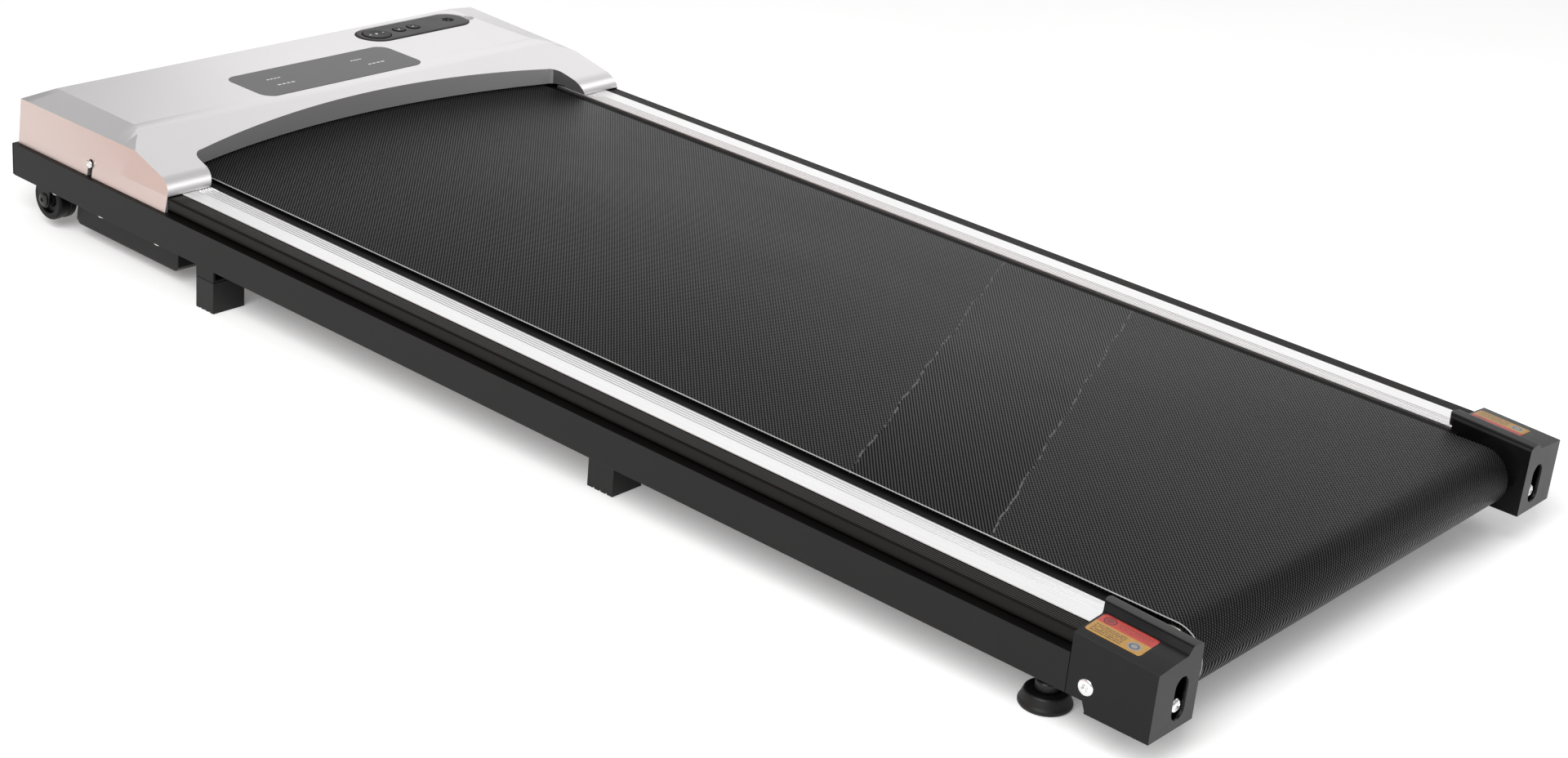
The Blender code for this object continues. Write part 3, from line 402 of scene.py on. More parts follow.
def moulded(name, colour, rough, grain, depth=0.00004, spec=0.5):
    """Moulded plastic or rubber with a fine spark-eroded grain."""
    s = Shader(name)
    fine = s.noise(grain, 2.0)
    broad = s.noise(34.0, 4.0)
    dark, light = tinted(colour, 0.12)
    s.set(Base_Color=s.ramp(broad, (0.3, dark), (0.7, light)))
    s.set(Roughness=s.span(broad, 0.25, 0.75, rough - 0.05, rough + 0.06))
    return s.set(Normal=s.bump(fine, depth), Specular_IOR_Level=spec)


def powder_coat(name, colour, rough, spec):
    """Fine textured black powder coat on steel."""
    s = Shader(name)
    fine = s.noise(1500.0, 3.0, 0.6)
    broad = s.noise(16.0, 4.0)
    dark, light = tinted(colour, 0.16)
    s.set(Base_Color=s.ramp(broad, (0.3, dark), (0.7, light)))
    s.set(Roughness=s.span(fine, 0.3, 0.7, rough - 0.06, rough + 0.10))
    return s.set(Normal=s.bump(fine, 0.00005), Specular_IOR_Level=spec)


def extruded(name, colour, rough, metallic, spec=0.5):
    """Anodised extrusion with faint lengthwise die lines."""
    s = Shader(name)
    lines = s.noise(1.0, 2.0, 0.5, s.place((420, 0.9, 420)))
    broad = s.noise(9.0, 3.0)
    dark, light = tinted(colour, 0.06)
    s.set(Base_Color=s.ramp(lines, (0.3, dark), (0.7, light)))
    drawn = s.span(lines, 0.3, 0.7, rough - 0.04, rough + 0.04)
    s.set(Roughness=s.plus(drawn, s.span(broad, 0.3, 0.7, -0.03, 0.03)))
    return s.set(Metallic=metallic, Normal=s.bump(lines, 0.000006), Specular_IOR_Level=spec)


def plated(name, colour, rough, swirl):
    """Zinc or nickel plated steel."""
    s = Shader(name)
    fine = s.noise(swirl, 4.0, 0.6)
    dark, light = tinted(colour, 0.12)
    s.set(Base_Color=s.ramp(fine, (0.35, dark), (0.65, light)), Metallic=1.0)
    return s.set(Roughness=s.span(fine, 0.3, 0.7, rough - 0.06, rough + 0.10), Normal=s.bump(fine, 0.00002))


def silver_paint(name, metallic=0.88, light=0.0, tint=(1.0, 0.98, 0.985)):
    """Satin metallic paint: fine flakes under a thin clear coat."""
    s = Shader(name)
    flakes = s.noise(4200.0, 2.0, 0.7)
    broad = s.noise(5.0, 3.0)
    # light lifts the paint's colour and tint colours it: the hood's rear band gets painted light this way, its
    # flanks a warm painted reflection.
    low, high = [tuple((value + light) * t for t in tint) for value in (0.68, 0.76)]
    s.set(Base_Color=s.ramp(flakes, (0.30, low), (0.70, high)))
    s.set(Roughness=s.plus(s.span(flakes, 0.3, 0.7, 0.33, 0.43), s.span(broad, 0.3, 0.7, -0.02, 0.02)))
    return s.set(Metallic=metallic, Normal=s.bump(flakes, 0.000012), Coat_Weight=0.15, Coat_Roughness=0.22)


def belt_material(name):
    """Black PVC belting: a raised weave, ribs on its lower run, and the two wavy seams of its joint; painted
    shade darkens the rear wrap and a painted glint runs along the seams.
    """
    s = Shader(name)
    uv, x, v = s.layer("belt")
    wavy = s.noise(1.0, 3.0, 0.6, s.stretched(uv, (22, 6, 22)))
    wobble = s.times(s.minus(wavy, 0.5), 0.012)

    def past(seam):
        start, slope = seam
        straight = s.minus(s.minus(v, s.times(x, slope)), start)
        return s.plus(straight, wobble)

    ahead, behind = past(SEAMS[0]), past(SEAMS[1])
    inside = s.times(s.below(ahead, 0.0), s.above(behind, 0.0))
    heading = s.plus(WEAVE_ANGLE, s.times(inside, JOINT_TURN))
    turn = 2 * math.pi * WEAVE
    kx = s.times(s.math("COSINE", heading), turn)
    ky = s.times(s.math("SINE", heading), turn)
    phase_x, phase_v = s.times(x, kx), s.times(v, ky)
    along = s.math("COSINE", s.times(phase_x, 0.75))
    twill = s.math("COSINE", s.minus(phase_x, phase_v))
    cross = s.math("COSINE", s.plus(phase_x, phase_v))
    lean = s.plus(0.64, s.times(inside, 0.22))
    dots = s.times(cross, s.minus(1.04, lean))
    lattice = s.plus(s.times(twill, lean), dots)
    under = s.span(v, LOWER_WRAP - 0.0015, LOWER_WRAP + 0.0015, 1.0, 0.0)
    over = s.times(s.minus(1.0, under), lattice)
    weave = s.plus(s.times(under, along), over)
    wrap = BELT_REAR_Y - REAR
    # roll is 1 on the rear wrap round the roller: there the colour is darkened as painted shade and the
    # specular level lowered.
    roll = s.span(v, wrap - 0.006, wrap + 0.008, 1.0, 0.0)
    yarn = s.noise(1.0, 2.0, 0.6, s.stretched(uv, (900, 900, 900)))
    lumps = s.plus(s.times(weave, 0.5), s.times(yarn, 0.35))
    worn = s.noise(1.0, 4.0, 0.55, s.stretched(uv, (9, 5, 9)))
    # The seams show as a lighter broken line: a painted glint along the splice edge.
    broken = s.noise(1.0, 3.0, 0.7, s.stretched(uv, (120, 120, 120)))
    seam_glint_gaps = s.above(broken, 0.50)
    first, second = s.within(ahead, 0.0008), s.within(behind, 0.0007)
    seam = s.math("MAXIMUM", s.times(first, seam_glint_gaps), s.times(second, seam_glint_gaps))
    rise, fall = s.span(ahead, -0.002, 0.001, 0.0, 1.0), s.span(behind, 0.002, -0.001, 0.0, 1.0)
    step = s.math("MAXIMUM", rise, fall)
    shade = s.plus(weave, s.times(worn, 0.5))
    # Painted shade: the rear wrap is darkened.
    shade = s.minus(shade, s.times(roll, 0.35))
    colour = s.ramp(shade, (0.0, (0.0022, 0.0022, 0.0024)), (0.9, (0.019, 0.0188, 0.019)))
    # The lighter seam colour is a painted glint.
    colour = s.mix(seam, colour, (0.10, 0.098, 0.095))
    s.set(Base_Color=colour, Roughness=s.span(worn, 0.3, 0.7, 0.30, 0.40))
    gloss = s.minus(1.0, s.times(roll, 0.35))
    shine = s.times(s.span(weave, -0.6, 0.9, 0.03, 0.42), gloss)
    normal = s.bump(step, 0.0004, 0.6, s.bump(lumps, 0.0006))
    return s.set(Normal=normal, Specular_IOR_Level=shine)


def smoked(name):
    """Smoked acrylic window."""
    s = Shader(name)
    broad = s.noise(22.0, 2.0)
    s.set(Base_Color=s.ramp(broad, (0.3, (0.058, 0.056, 0.058)), (0.7, (0.068, 0.066, 0.068))))
    return s.set(Roughness=s.span(broad, 0.3, 0.7, 0.14, 0.20), Specular_IOR_Level=0.12)


def label_material(name):
    """A printed two-colour label with plain dark bars and two round marks."""
    s = Shader(name)
    uv, u, v = s.layer("label")
    rub = s.noise(300.0, 3.0)
    red = s.ramp(rub, (0.3, (0.35, 0.032, 0.024)), (0.7, (0.42, 0.045, 0.034)))
    amber = s.ramp(rub, (0.3, (0.33, 0.175, 0.034)), (0.7, (0.40, 0.215, 0.048)))
    colour = s.mix(s.above(v, 0.56), amber, red)

    def window(low_u, high_u, low_v, high_v):
        across = s.times(s.above(u, low_u), s.below(u, high_u))
        return s.times(across, s.times(s.above(v, low_v), s.below(v, high_v)))

    broken = s.noise(1.0, 1.0, 0.5, s.stretched(uv, (60, 9.5, 1)))
    rows = s.below(s.math("FRACT", s.times(v, 12.0)), 0.48)
    bars = s.times(rows, s.above(broken, 0.44))
    lower = s.times(bars, window(0.06, 0.62, 0.08, 0.50))
    upper = s.times(bars, window(0.34, 0.93, 0.62, 0.92))
    colour = s.mix(s.times(lower, 0.9), colour, (0.035, 0.03, 0.024))
    colour = s.mix(s.times(upper, 0.75), colour, (0.10, 0.012, 0.012))

    def ring(centre_u, centre_v, radius, width):
        du = s.times(s.minus(u, centre_u), 1.55)
        dv = s.minus(v, centre_v)
        far = s.math("SQRT", s.plus(s.times(du, du), s.times(dv, dv)))
        return s.within(s.minus(far, radius), width)

    for centre_u, centre_v, radius, width, ink in (
        (0.18, 0.77, 0.15, 0.022, (0.10, 0.02, 0.02)),
        (0.18, 0.77, 0.05, 0.05, (0.16, 0.03, 0.03)),
        (0.80, 0.28, 0.09, 0.09, (0.22, 0.22, 0.22)),
        (0.80, 0.28, 0.11, 0.018, (0.05, 0.05, 0.05)),
    ):
        colour = s.mix(ring(centre_u, centre_v, radius, width), colour, ink)
    s.set(Base_Color=colour, Roughness=s.span(rub, 0.3, 0.7, 0.32, 0.42))
    return s.set(Normal=s.bump(rub, 0.00001))


def floor_material():
    s = Shader("pale_floor")
    broad = s.noise(3.0, 2.0)
    s.set(Base_Color=s.ramp(broad, (0.3, (0.90, 0.90, 0.90)), (0.7, (0.92, 0.92, 0.92))))
    return s.set(Roughness=0.8, Specular_IOR_Level=0.1, Emission_Color=(1, 1, 1, 1), Emission_Strength=0.17)


# name: (kind, then the values of that kind)
LOOKS = {
    "black_steel": (powder_coat, (0.0037, 0.0033, 0.0032), 0.38, 0.23),
    "black_rail": (extruded, (0.0050, 0.0036, 0.0032), 0.26, 0.0, 0.13),
    "silver_strip": (extruded, (0.80, 0.795, 0.80), 0.36, 1.0),
    "cap_plastic": (moulded, (0.0030, 0.0028, 0.0032), 0.27, 2200.0, 0.00002, 0.22),
    "belt_rubber": (belt_material,),
    "belt_edge": (moulded, (0.36, 0.355, 0.35), 0.6, 1800.0, 0.0001),
    "plain_rubber": (moulded, (0.008, 0.008, 0.008), 0.55, 1400.0, 0.00005, 0.3),
    "deck_laminate": (moulded, (0.003, 0.003, 0.003), 0.5, 900.0, 0.00004, 0.06),
    "black_rubber": (moulded, (0.006, 0.0057, 0.0055), 0.45, 1600.0, 0.00005, 0.3),
    "bright_steel": (plated, (0.50, 0.50, 0.49), 0.26, 300.0),
    "dark_metal": (powder_coat, (0.012, 0.012, 0.0125), 0.30, 0.4),
    "heat_sink": (extruded, (0.50, 0.51, 0.52), 0.38, 1.0),
    "circuit_board": (moulded, (0.012, 0.10, 0.035), 0.35, 700.0),
    "hood_silver": (silver_paint,),
    # A lighter, less metallic copy of the hood paint: painted light on the hood's shaded rear band.
    "scoop_silver": (silver_paint, 0.45, 0.10),
    # A darker, warm-tinted copy of the hood paint: a painted warm reflection on the hood's flanks.
    "flank_silver": (silver_paint, 0.88, 0.0, (0.88, 0.745, 0.70)),
    "display_window": (smoked,),
    "remote_shell": (moulded, (0.022, 0.0215, 0.0225), 0.36, 3000.0, 0.00002, 0.15),
    "key_plastic": (moulded, (0.002, 0.002, 0.0022), 0.20, 3000.0, 0.000006, 0.04),
    "wheel_plastic": (moulded, (0.003, 0.003, 0.003), 0.36, 2000.0, 0.00003, 0.15),
    "rocker_red": (moulded, (0.50, 0.018, 0.015), 0.28, 3000.0, 0.00002),
    "zinc_screw": (plated, (0.76, 0.77, 0.76), 0.20, 700.0),
    "printed_label": (label_material,),
    "white_print": (moulded, (0.75, 0.75, 0.76), 0.5, 2500.0, 0.00001),
}
MATERIALS = {}


def wear(obj, *names):
    """Gives an object its materials by name."""
    obj.data.materials.clear()
    for name in names:
        obj.data.materials.append(MATERIALS[name])


def attach(obj, body, slot, *replaced):
    """The piece rides on its body and stands for the CAD nodes named; the slot is not used."""
    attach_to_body(obj, body)
    if replaced:
        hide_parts(*replaced)


def add(obj, look, body, slot, *replaced):
    wear(obj, look)
    attach(obj, body, slot, *replaced)


# ---------------------------------------------------------------- hood


def slope_height(y, inset=0.0):
    return HOOD_TOP - HOOD_SLOPE * (HOOD_CREASE - y) - inset * math.hypot(1, HOOD_SLOPE)


def hood_side_profile(inset, base):
    """The hood seen from the side, as (y, z), with the crease blended."""
    front = HOOD_FRONT - inset
    top = HOOD_TOP - inset
    chamfer = inset * 0.45
    points = [(front, base), (front, HOOD_SHOULDER - chamfer), (HOOD_LIP - chamfer, top)]
    start = HOOD_CREASE + CREASE_BLEND / 2
    for i in range(13):
        t = i / 12
        points.append((start - CREASE_BLEND * t, top - HOOD_SLOPE * 0.5 * CREASE_BLEND * t * t))
    leg_height = slope_height(HOOD_LEG, inset)
    rear = HOOD_REAR + inset
    low_sine = math.sin(LEG_START)
    for i in range(17):
        turn = math.radians(14 + 76 * i / 16)
        y = HOOD_LEG - (HOOD_LEG - rear) * (math.sin(turn) - low_sine) / (1 - low_sine)
        z = STRIP_TOP + (leg_height - STRIP_TOP) * math.cos(turn) / math.cos(LEG_START)
        points.append((y, z))
    points.append((rear, base))
    return points


def hood_section(y, inset, base):
    """The hood seen from the front at a distance along it: the sides stand straighter towards its front."""
    (rear, rear_rows), (front, front_rows) = HOOD_SIDES
    share = max(0.0, min(1.0, (y - rear) / (front - rear)))
    drops = (0.0, 0.0, 0.35 * inset, inset)
    half = []
    for (x0, z0), (x1, z1), drop, lean in zip(rear_rows, front_rows, drops, (1.0, 1.0, 1.0, 0.6)):
        x = x0 + (x1 - x0) * share - inset * lean
        z = z0 + (z1 - z0) * share - drop
        half.append((x, y, z if z > 0.01 else base))
    return half + [(-x, y, z) for x, y, z in reversed(half)]


def arc_outline(z, offset, steps=72):
    """The hood's curved rear edge seen from above at a height: a bow between two straight legs."""
    rise = z - ARC_HEIGHT
    middle = ARC_MIDDLE - ARC_LEAN * rise + offset
    reach = STRIP_INNER - LEG_LEAN * rise + offset
    corner = reach - ARC_CORNER
    corner_y = middle - ARC_CURVE * corner * corner
    points = []
    for i in range(steps + 1):
        x = -corner + 2 * corner * i / steps
        points.append((x, middle - ARC_CURVE * x * x))
    tail = [(corner + ARC_CORNER * sine, corner_y - 0.013 * drop) for sine, drop in quarter(12, 1)]
    tail.append((reach, HOOD_BEHIND))
    return [(-x, y) for x, y in reversed(tail)] + points + tail


def arc_cutter(offset):
    below, above = 0.050, 0.130
    return loft("arc", [[(x, y, z) for x, y in arc_outline(z, offset)] for z in (below, above)])


def hood_form(name, inset, base):
    """The hood's outer form, or with an inset the hollow inside it."""
    beside = 0.30
    form = prism(name, hood_side_profile(inset, base), "X", -beside, beside)
    rows = [HOOD_BEHIND] + [HOOD_SIDE_START + HOOD_SIDE_STEP * i for i in range(12)] + [HOOD_BEYOND]
    combine(form, loft("sides", [hood_section(y, inset, base) for y in rows]), "INTERSECT")
    return combine(form, arc_cutter(inset))


def cut_remote_pocket(shell):
    """A floor and wall round the remote, and the pocket it lies in."""
    low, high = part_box("remote_body")
    middle = 0.5 * (low.y + high.y)
    radius = 0.5 * (high.y - low.y)
    cradle = stadium(low.x - 0.003, high.x + 0.003, middle, radius + 0.003)
    combine(shell, prism("cradle", cradle, "Z", low.z - 0.0026, HOOD_TOP - 0.0010), "UNION")
    rings = []
    for gap, z in (
        (0.0006, low.z - 0.0003), (0.0006, HOOD_TOP - 0.0012), (0.0008, HOOD_TOP - 0.0006),
        (0.0014, HOOD_TOP - 0.0002), (0.0026, HOOD_TOP + 0.0004),
    ):
        rings.append([(x, y, z) for x, y in stadium(low.x - gap, high.x + gap, middle, radius + gap)])
    combine(shell, loft("pocket", rings))


def cut_finger_scoop(shell):
    """A round hollow at the remote's end, to lift it out by."""
    low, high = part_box("remote_body")
    bowl, centre = 0.0095, 0.0003
    turns = [math.radians(9 * i) for i in range(1, 10)]
    scoop = [(centre, -bowl)] + [(bowl * math.sin(turn), -bowl * math.cos(turn)) for turn in turns]
    scoop += [(bowl, 0.0), (centre, 0.0)]
    place = (high.x + 0.001, 0.5 * (low.y + high.y) - 0.004, HOOD_TOP + 0.0065)
    combine(shell, turned("scoop", scoop, "Z", place, 40))


def cut_display_seat(shell):
    """A shallow seat round the lens and a window under it."""
    low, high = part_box("display_lens")
    gap = 0.0003
    seat = rounded((low.x - gap, low.y - gap), (high.x + gap, high.y + gap), LENS_CORNER + gap, 12)
    combine(shell, prism("seat", seat, "Z", HOOD_TOP - 0.0015, HOOD_TOP + 0.01))
    combine(shell, box("window", (-0.075, low.y + 0.008, 0.09), (0.075, high.y - 0.007, 0.12)))


def make_hood():
    shell = merge_close(hood_form("hood_shell", 0.0, HOOD_BASE))
    for low, high, width, segments in ((6, 30, 0.0012, 3), (30, 50, 0.0020, 4), (50, 120, 0.0021, 5)):
        bevel_edges(shell, low, high, width, segments)
    combine(shell, hood_form("hollow", HOOD_WALL, HOOD_BASE - 0.02))
    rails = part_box("side_rail_right")[1].x + 0.00005
    combine(shell, box("rails", (-rails, HOOD_BEHIND, 0.04), (rails, REAR + 1.004, STRIP_TOP + 0.0003)))
    arch = STRIP_INNER + 0.0080
    combine(shell, box("arch", (-arch, REAR + 0.99, 0.04), (arch, ARC_MIDDLE + 0.02, BELT_TOP + 0.0010)))
    cut_remote_pocket(shell)
    cut_display_seat(shell)
    cut_finger_scoop(shell)
    for side in SIDES.values():
        left, right = HOOD_SCREW_Y - 0.003, HOOD_SCREW_Y + 0.003
        slot = [(left, 0.060), (right, 0.060)] + circle((HOOD_SCREW_Y, 0.0762), 0.003, 12, 0, math.pi)
        combine(shell, prism("screw", slot, "X", side * 0.240, side * 0.270))
    panel_low, panel_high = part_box("power_inlet")
    gap = 0.0018
    corner = (0.0980, HOOD_FRONT - 0.01, panel_low.z + gap)
    combine(shell, box("power", corner, (0.1845, HOOD_FRONT + 0.01, panel_high.z - gap)))
    merge_close(shell)
    smooth_by_angle(shell, 32)
    wear(shell, "hood_silver", "scoop_silver", "flank_silver")
    for polygon in shell.data.polygons:
        normal, out = polygon.normal, abs(polygon.center.x)
        # The shaded rear band takes the lighter copy of the paint: painted light.
        if normal.y < -0.6 and normal.z < -0.2 and out < STRIP_INNER:
            polygon.material_index = 1
        # The outer flanks take the warm-tinted copy of the paint: a painted reflection.
        elif abs(normal.x) > 0.90 and out > HOOD_HALF - 0.012:
            polygon.material_index = 2
    attach(shell, "frame", "hood_silver", "hood")


def make_display():
    low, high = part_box("display_lens")
    outline = rounded((low.x, low.y), (high.x, high.y), LENS_CORNER, 14)
    lens = prism("display_window", outline, "Z", low.z, high.z)
    round_edges(lens, 0.0003, 2)
    add(lens, "display_window", "frame", "display_window", "display_lens")
    # (share of the lens's length, share of its depth, length, width)
    marks = [(0.205, 0.62, 0.016, 0.0016), (0.215, 0.36, 0.020, 0.0018)]
    marks += [(0.735, 0.66, 0.013, 0.0016), (0.795, 0.40, 0.020, 0.0018)]
    parts = 4
    for i, (u, v, length, width) in enumerate(marks):
        x, y = low.x + u * (high.x - low.x), low.y + v * (high.y - low.y)
        for k in range(parts):
            start = x - length / 2 + k * length / parts
            end = start + length / parts * 0.78
            mark = rounded((start, y - width / 2), (end, y + width / 2), width * 0.35, 3)
            piece = prism(f"display_mark_{i}{k}", mark, "Z", high.z - 0.0001, high.z + 0.00006)
            add(piece, "white_print", "frame", "white_print")


# Marks on each key: (distance from the key's middle, length, width)
KEY_MARKS = {
    "remote_dial": [(-0.0075, 0.0022, 0.0006), (-0.0075, 0.0006, 0.0022), (0.0078, 0.0022, 0.0006)],
    "remote_plus": [(0.0, 0.0026, 0.0007), (0.0, 0.0007, 0.0026)],
    "remote_minus": [(0.0, 0.0028, 0.0008)],
}


def make_remote():
    low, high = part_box("remote_body")
    middle = 0.5 * (low.y + high.y)
    radius = 0.5 * (high.y - low.y)
    wall, edge, top = 0.0066, 0.0019, 0.0087
    levels = [(0.0, 0.0010), (0.0010, 0.0), (wall, 0.0)]
    levels += [(wall + edge * sine, edge * drop) for sine, drop in quarter(8, 1)[:-1]]
    levels += [(top - 0.0001, 0.0024), (top, 0.0034)]
    rings = []
    for height, offset in levels:
        outline = stadium(low.x + offset, high.x - offset, middle, radius - offset, 32)
        rings.append([(x, y, low.z + height) for x, y in outline])
    body = loft("remote_case", rings)
    for node in KEY_MARKS:
        key_low, key_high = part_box(node)
        x = 0.5 * (key_low.x + key_high.x)
        r = 0.5 * (key_high.x - key_low.x) + 0.0004
        well = [(r, -0.0040), (r, -0.0006), (r + 0.0002, -0.0002), (r + 0.0008, 0.0004)]
        combine(body, turned("well", well, "Z", (x, middle, high.z), 64))
    loop = high.x - radius
    dimple = [(0.0002, -0.0035), (0.0034, -0.0034), (0.0044, -0.0026), (0.0050, -0.0010), (0.0062, 0.0003)]
    combine(body, turned("dimple", dimple, "Z", (loop, middle, high.z), 48))
    smooth_by_angle(body, 35)
    add(body, "remote_shell", "remote", "remote_shell", "remote_body")
    for node in KEY_MARKS:
        make_key(node)


def make_key(node):
    low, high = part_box(node)
    centre = 0.5 * (low + high)
    r = 0.5 * (high.x - low.x)
    top = high.z - low.z
    profile = [(r, 0.0), (r, top - 0.0010)]
    profile += [(r - 0.0009 * drop, top - 0.0010 + 0.0009 * sine) for sine, drop in quarter(6, 1)]
    profile += [(r * 0.72, top), (r * 0.5, top - 0.0002), (r * 0.2, top - 0.0003), (0.0002, top - 0.0003)]
    cap = turned(node + "_cap", profile, "Z", (centre.x, centre.y, low.z), 64)
    smooth_by_angle(cap, 40)
    add(cap, "key_plastic", node, "key_plastic", node)
    z = high.z - 0.0004
    for i, (dx, length, width) in enumerate(KEY_MARKS[node]):
        start = (centre.x + dx - length / 2, centre.y - width / 2)
        end = (centre.x + dx + length / 2, centre.y + width / 2)
        outline = rounded(start, end, min(length, width) * 0.3, 3)
        mark = prism(f"{node}_mark_{i}", outline, "Z", z, high.z)
        add(mark, "white_print", node, "white_print")
    if node == "remote_dial":
        arrow = [(-0.0012, -0.0018), (0.0020, 0.0), (-0.0012, 0.0018)]
        points = [(centre.x + dx, centre.y + dy) for dx, dy in arrow]
        play = prism("remote_dial_mark_play", points, "Z", z, high.z)
        add(play, "white_print", node, "white_print")


# ---------------------------------------------------------------- belt


def belt_path(radius):
    """(y, z, distance) round the loop; the upper run's distance is measured from the machine's rear."""
    points = []
    steps = 36
    for i in range(steps + 1):
        turn = math.pi * i / steps
        y = BELT_REAR_Y - radius * math.sin(turn)
        z = ROLLER_Z - radius * math.cos(turn) + BELT_CROWN * (turn / math.pi)
        arc = BELT_RADIUS * (turn - math.pi)
        points.append((y, z, BELT_REAR_Y - REAR + arc))
    for i in range(steps + 1):
        turn = math.pi * i / steps
        y = BELT_FRONT_Y + radius * math.sin(turn)
        z = ROLLER_Z + radius * math.cos(turn) + BELT_CROWN * (1 - turn / math.pi)
        points.append((y, z, BELT_FRONT_Y - REAR + BELT_RADIUS * turn))
    return points


def make_belt():
    outer = belt_path(BELT_RADIUS)
    inner = belt_path(BELT_RADIUS - BELT_THICKNESS)
    count = len(outer)
    soft = 0.0005
    edge = belt_path(BELT_RADIUS - soft)
    rows = [(BELT_HALF, inner), (BELT_HALF, edge), (BELT_HALF - soft, outer)]
    rows += [(-BELT_HALF + soft, outer), (-BELT_HALF, edge), (-BELT_HALF, inner)]
    verts = [(x, y, z) for x, path in rows for y, z, _ in path]
    faces = []
    kinds = []
    for r in range(len(rows)):
        nxt = (r + 1) % len(rows)
        for i in range(count):
            j = (i + 1) % count
            faces.append((r * count + i, r * count + j, nxt * count + j, nxt * count + i))
            kinds.append(1 if r in (1, 3) else 0)
    belt = make_object("belt_loop", verts, faces)
    wear(belt, "belt_rubber", "belt_edge")
    layer = belt.data.uv_layers.new(name="belt")
    lower = outer[count - 1][2]
    total = lower + (BELT_FRONT_Y - BELT_REAR_Y)
    for polygon in belt.data.polygons:
        polygon.material_index = kinds[polygon.index]
        ids = [belt.data.loops[k].vertex_index % count for k in polygon.loop_indices]
        wraps = (0 in ids) and (count - 1 in ids)
        for k in polygon.loop_indices:
            vertex = belt.data.loops[k].vertex_index
            step = vertex % count
            x = belt.data.vertices[vertex].co.x
            distance = total if wraps and step == 0 else outer[step][2]
            layer.data[k].uv = (x, distance)
    belt.data.set_sharp_from_angle(angle=math.radians(60))
    attach(belt, "frame", "belt_rubber", "walking_belt")


# ---------------------------------------------------------------- end caps


def cap_top(x, y):
    """Height of a cap's upper face above the floor, at a distance from the middle plane."""
    share = (y - REAR) / CAP_LENGTH
    base = CAP_TOP_REAR + (CAP_TOP_FRONT - CAP_TOP_REAR) * share
    for (outer, low), (inner, high) in zip(CAP_CURVE, CAP_CURVE[1:]):
        if x >= inner:
            return base + low + (high - low) * (outer - x) / (outer - inner)
    return base + CAP_CURVE[-1][1]


def cap_ring(y, side, inset):
    """A cap's section at a distance along it; the inset gives the hollow inside."""
    outer = HALF_WIDTH - inset
    inner = CAP_INNER + inset
    points = [(outer, CAP_BOTTOM + inset), (outer, cap_top(0.26, y) - 0.0002 - inset)]
    points.append((outer - 0.0004, cap_top(outer, y) - inset))
    for x, _ in CAP_CURVE[1:]:
        points.append((x - 0.7 * inset if x > 0.226 else x, cap_top(x, y) - inset))
    end = CAP_INNER + 0.0046
    peak = cap_top(end, y) - inset
    radius = end - inner
    points += [(end - radius * sine, peak - radius * drop * 0.8) for sine, drop in quarter(8, 1)]
    points.append((inner, CAP_BOTTOM + inset))
    return [(side * x, y, z) for x, z in points]


def slot_ring(side, grow=0.0):
    points = circle((side * SLOT_MIDDLE, SLOT_HIGH), SLOT_RADIUS + grow, 16, 0, math.pi)
    return points + circle((side * SLOT_MIDDLE, SLOT_LOW), SLOT_RADIUS + grow, 16, math.pi, 2 * math.pi)


def cap_nose():
    """What is cut away in front of a cap, as (x, y): an S-curve out to the rounded nose beside the belt."""
    inner, outer = CAP_INNER - 0.003, 0.2660
    base, beyond = REAR + CAP_LENGTH - 0.0003, REAR + 0.09
    points = [(outer, base)]
    start = COVE_START + 0.001
    for i in range(13):
        t = i / 12
        blend = t * t * (3 - 2 * t)
        points.append((start - (start - NOSE_TURN) * t, base + (CAP_NOSE - CAP_LENGTH) * blend))
    reach, tip = NOSE_TURN - CAP_INNER, REAR + CAP_NOSE - 0.0003
    points += [(NOSE_TURN - reach * sine, tip - 0.0055 * drop) for sine, drop in quarter(8, 1)]
    return points + [(inner, REAR + CAP_NOSE - 0.0060), (inner, beyond), (outer, beyond)]


def make_cap(label, side):
    rear = REAR
    rings = [cap_ring(y, side, 0.0) for y in (rear, rear + 0.03, rear + CAP_NOSE + 0.002)]
    cap = loft("cap_" + label, rings)
    combine(cap, prism("nose", [(side * x, y) for x, y in cap_nose()], "Z", 0.0, 0.12))
    ends = sorted((side * 0.20, side * 0.27))
    front = (ends[1], rear + 0.09, STRIP_TOP + 0.0004)
    combine(cap, box("front", (ends[0], rear + CAP_LENGTH, 0.0), front))
    notch = [(rear + 0.0475, 0.02), (rear + 0.0475, CAP_BOTTOM + 0.002), (rear + 0.0500, 0.036)]
    notch += [(rear + 0.09, 0.036), (rear + 0.09, 0.02)]
    combine(cap, prism("step", notch, "X", side * 0.205, side * 0.270))
    merge_close(cap)
    add_bevel(cap, 0.0009, 3, 28)
    apply_all(cap)
    rings = [cap_ring(y, side, CAP_WALL) for y in (rear + 0.0025, rear + 0.03, rear + 0.09)]
    combine(cap, loft("hollow", rings))
    combine(cap, prism("slot", slot_ring(side), "Y", rear - 0.01, rear + 0.005))
    lip = []
    for grow, y in ((0.0, rear + 0.0012), (0.0002, rear + 0.0006), (0.0008, rear - 0.0002)):
        lip.append([(x, y, z) for x, z in slot_ring(side, grow)])
    combine(cap, loft("lip", lip))
    ends = sorted((side * 0.2125, side * 0.2185))
    half = 0.0085
    low, high = (ends[0], rear + 0.0185, ROLLER_Z - half), (ends[1], rear + 0.08, ROLLER_Z + half)
    combine(cap, box("axle", low, high))
    smooth_by_angle(cap, 32)
    add(cap, "cap_plastic", "frame", "cap_plastic", "end_cap_" + label)


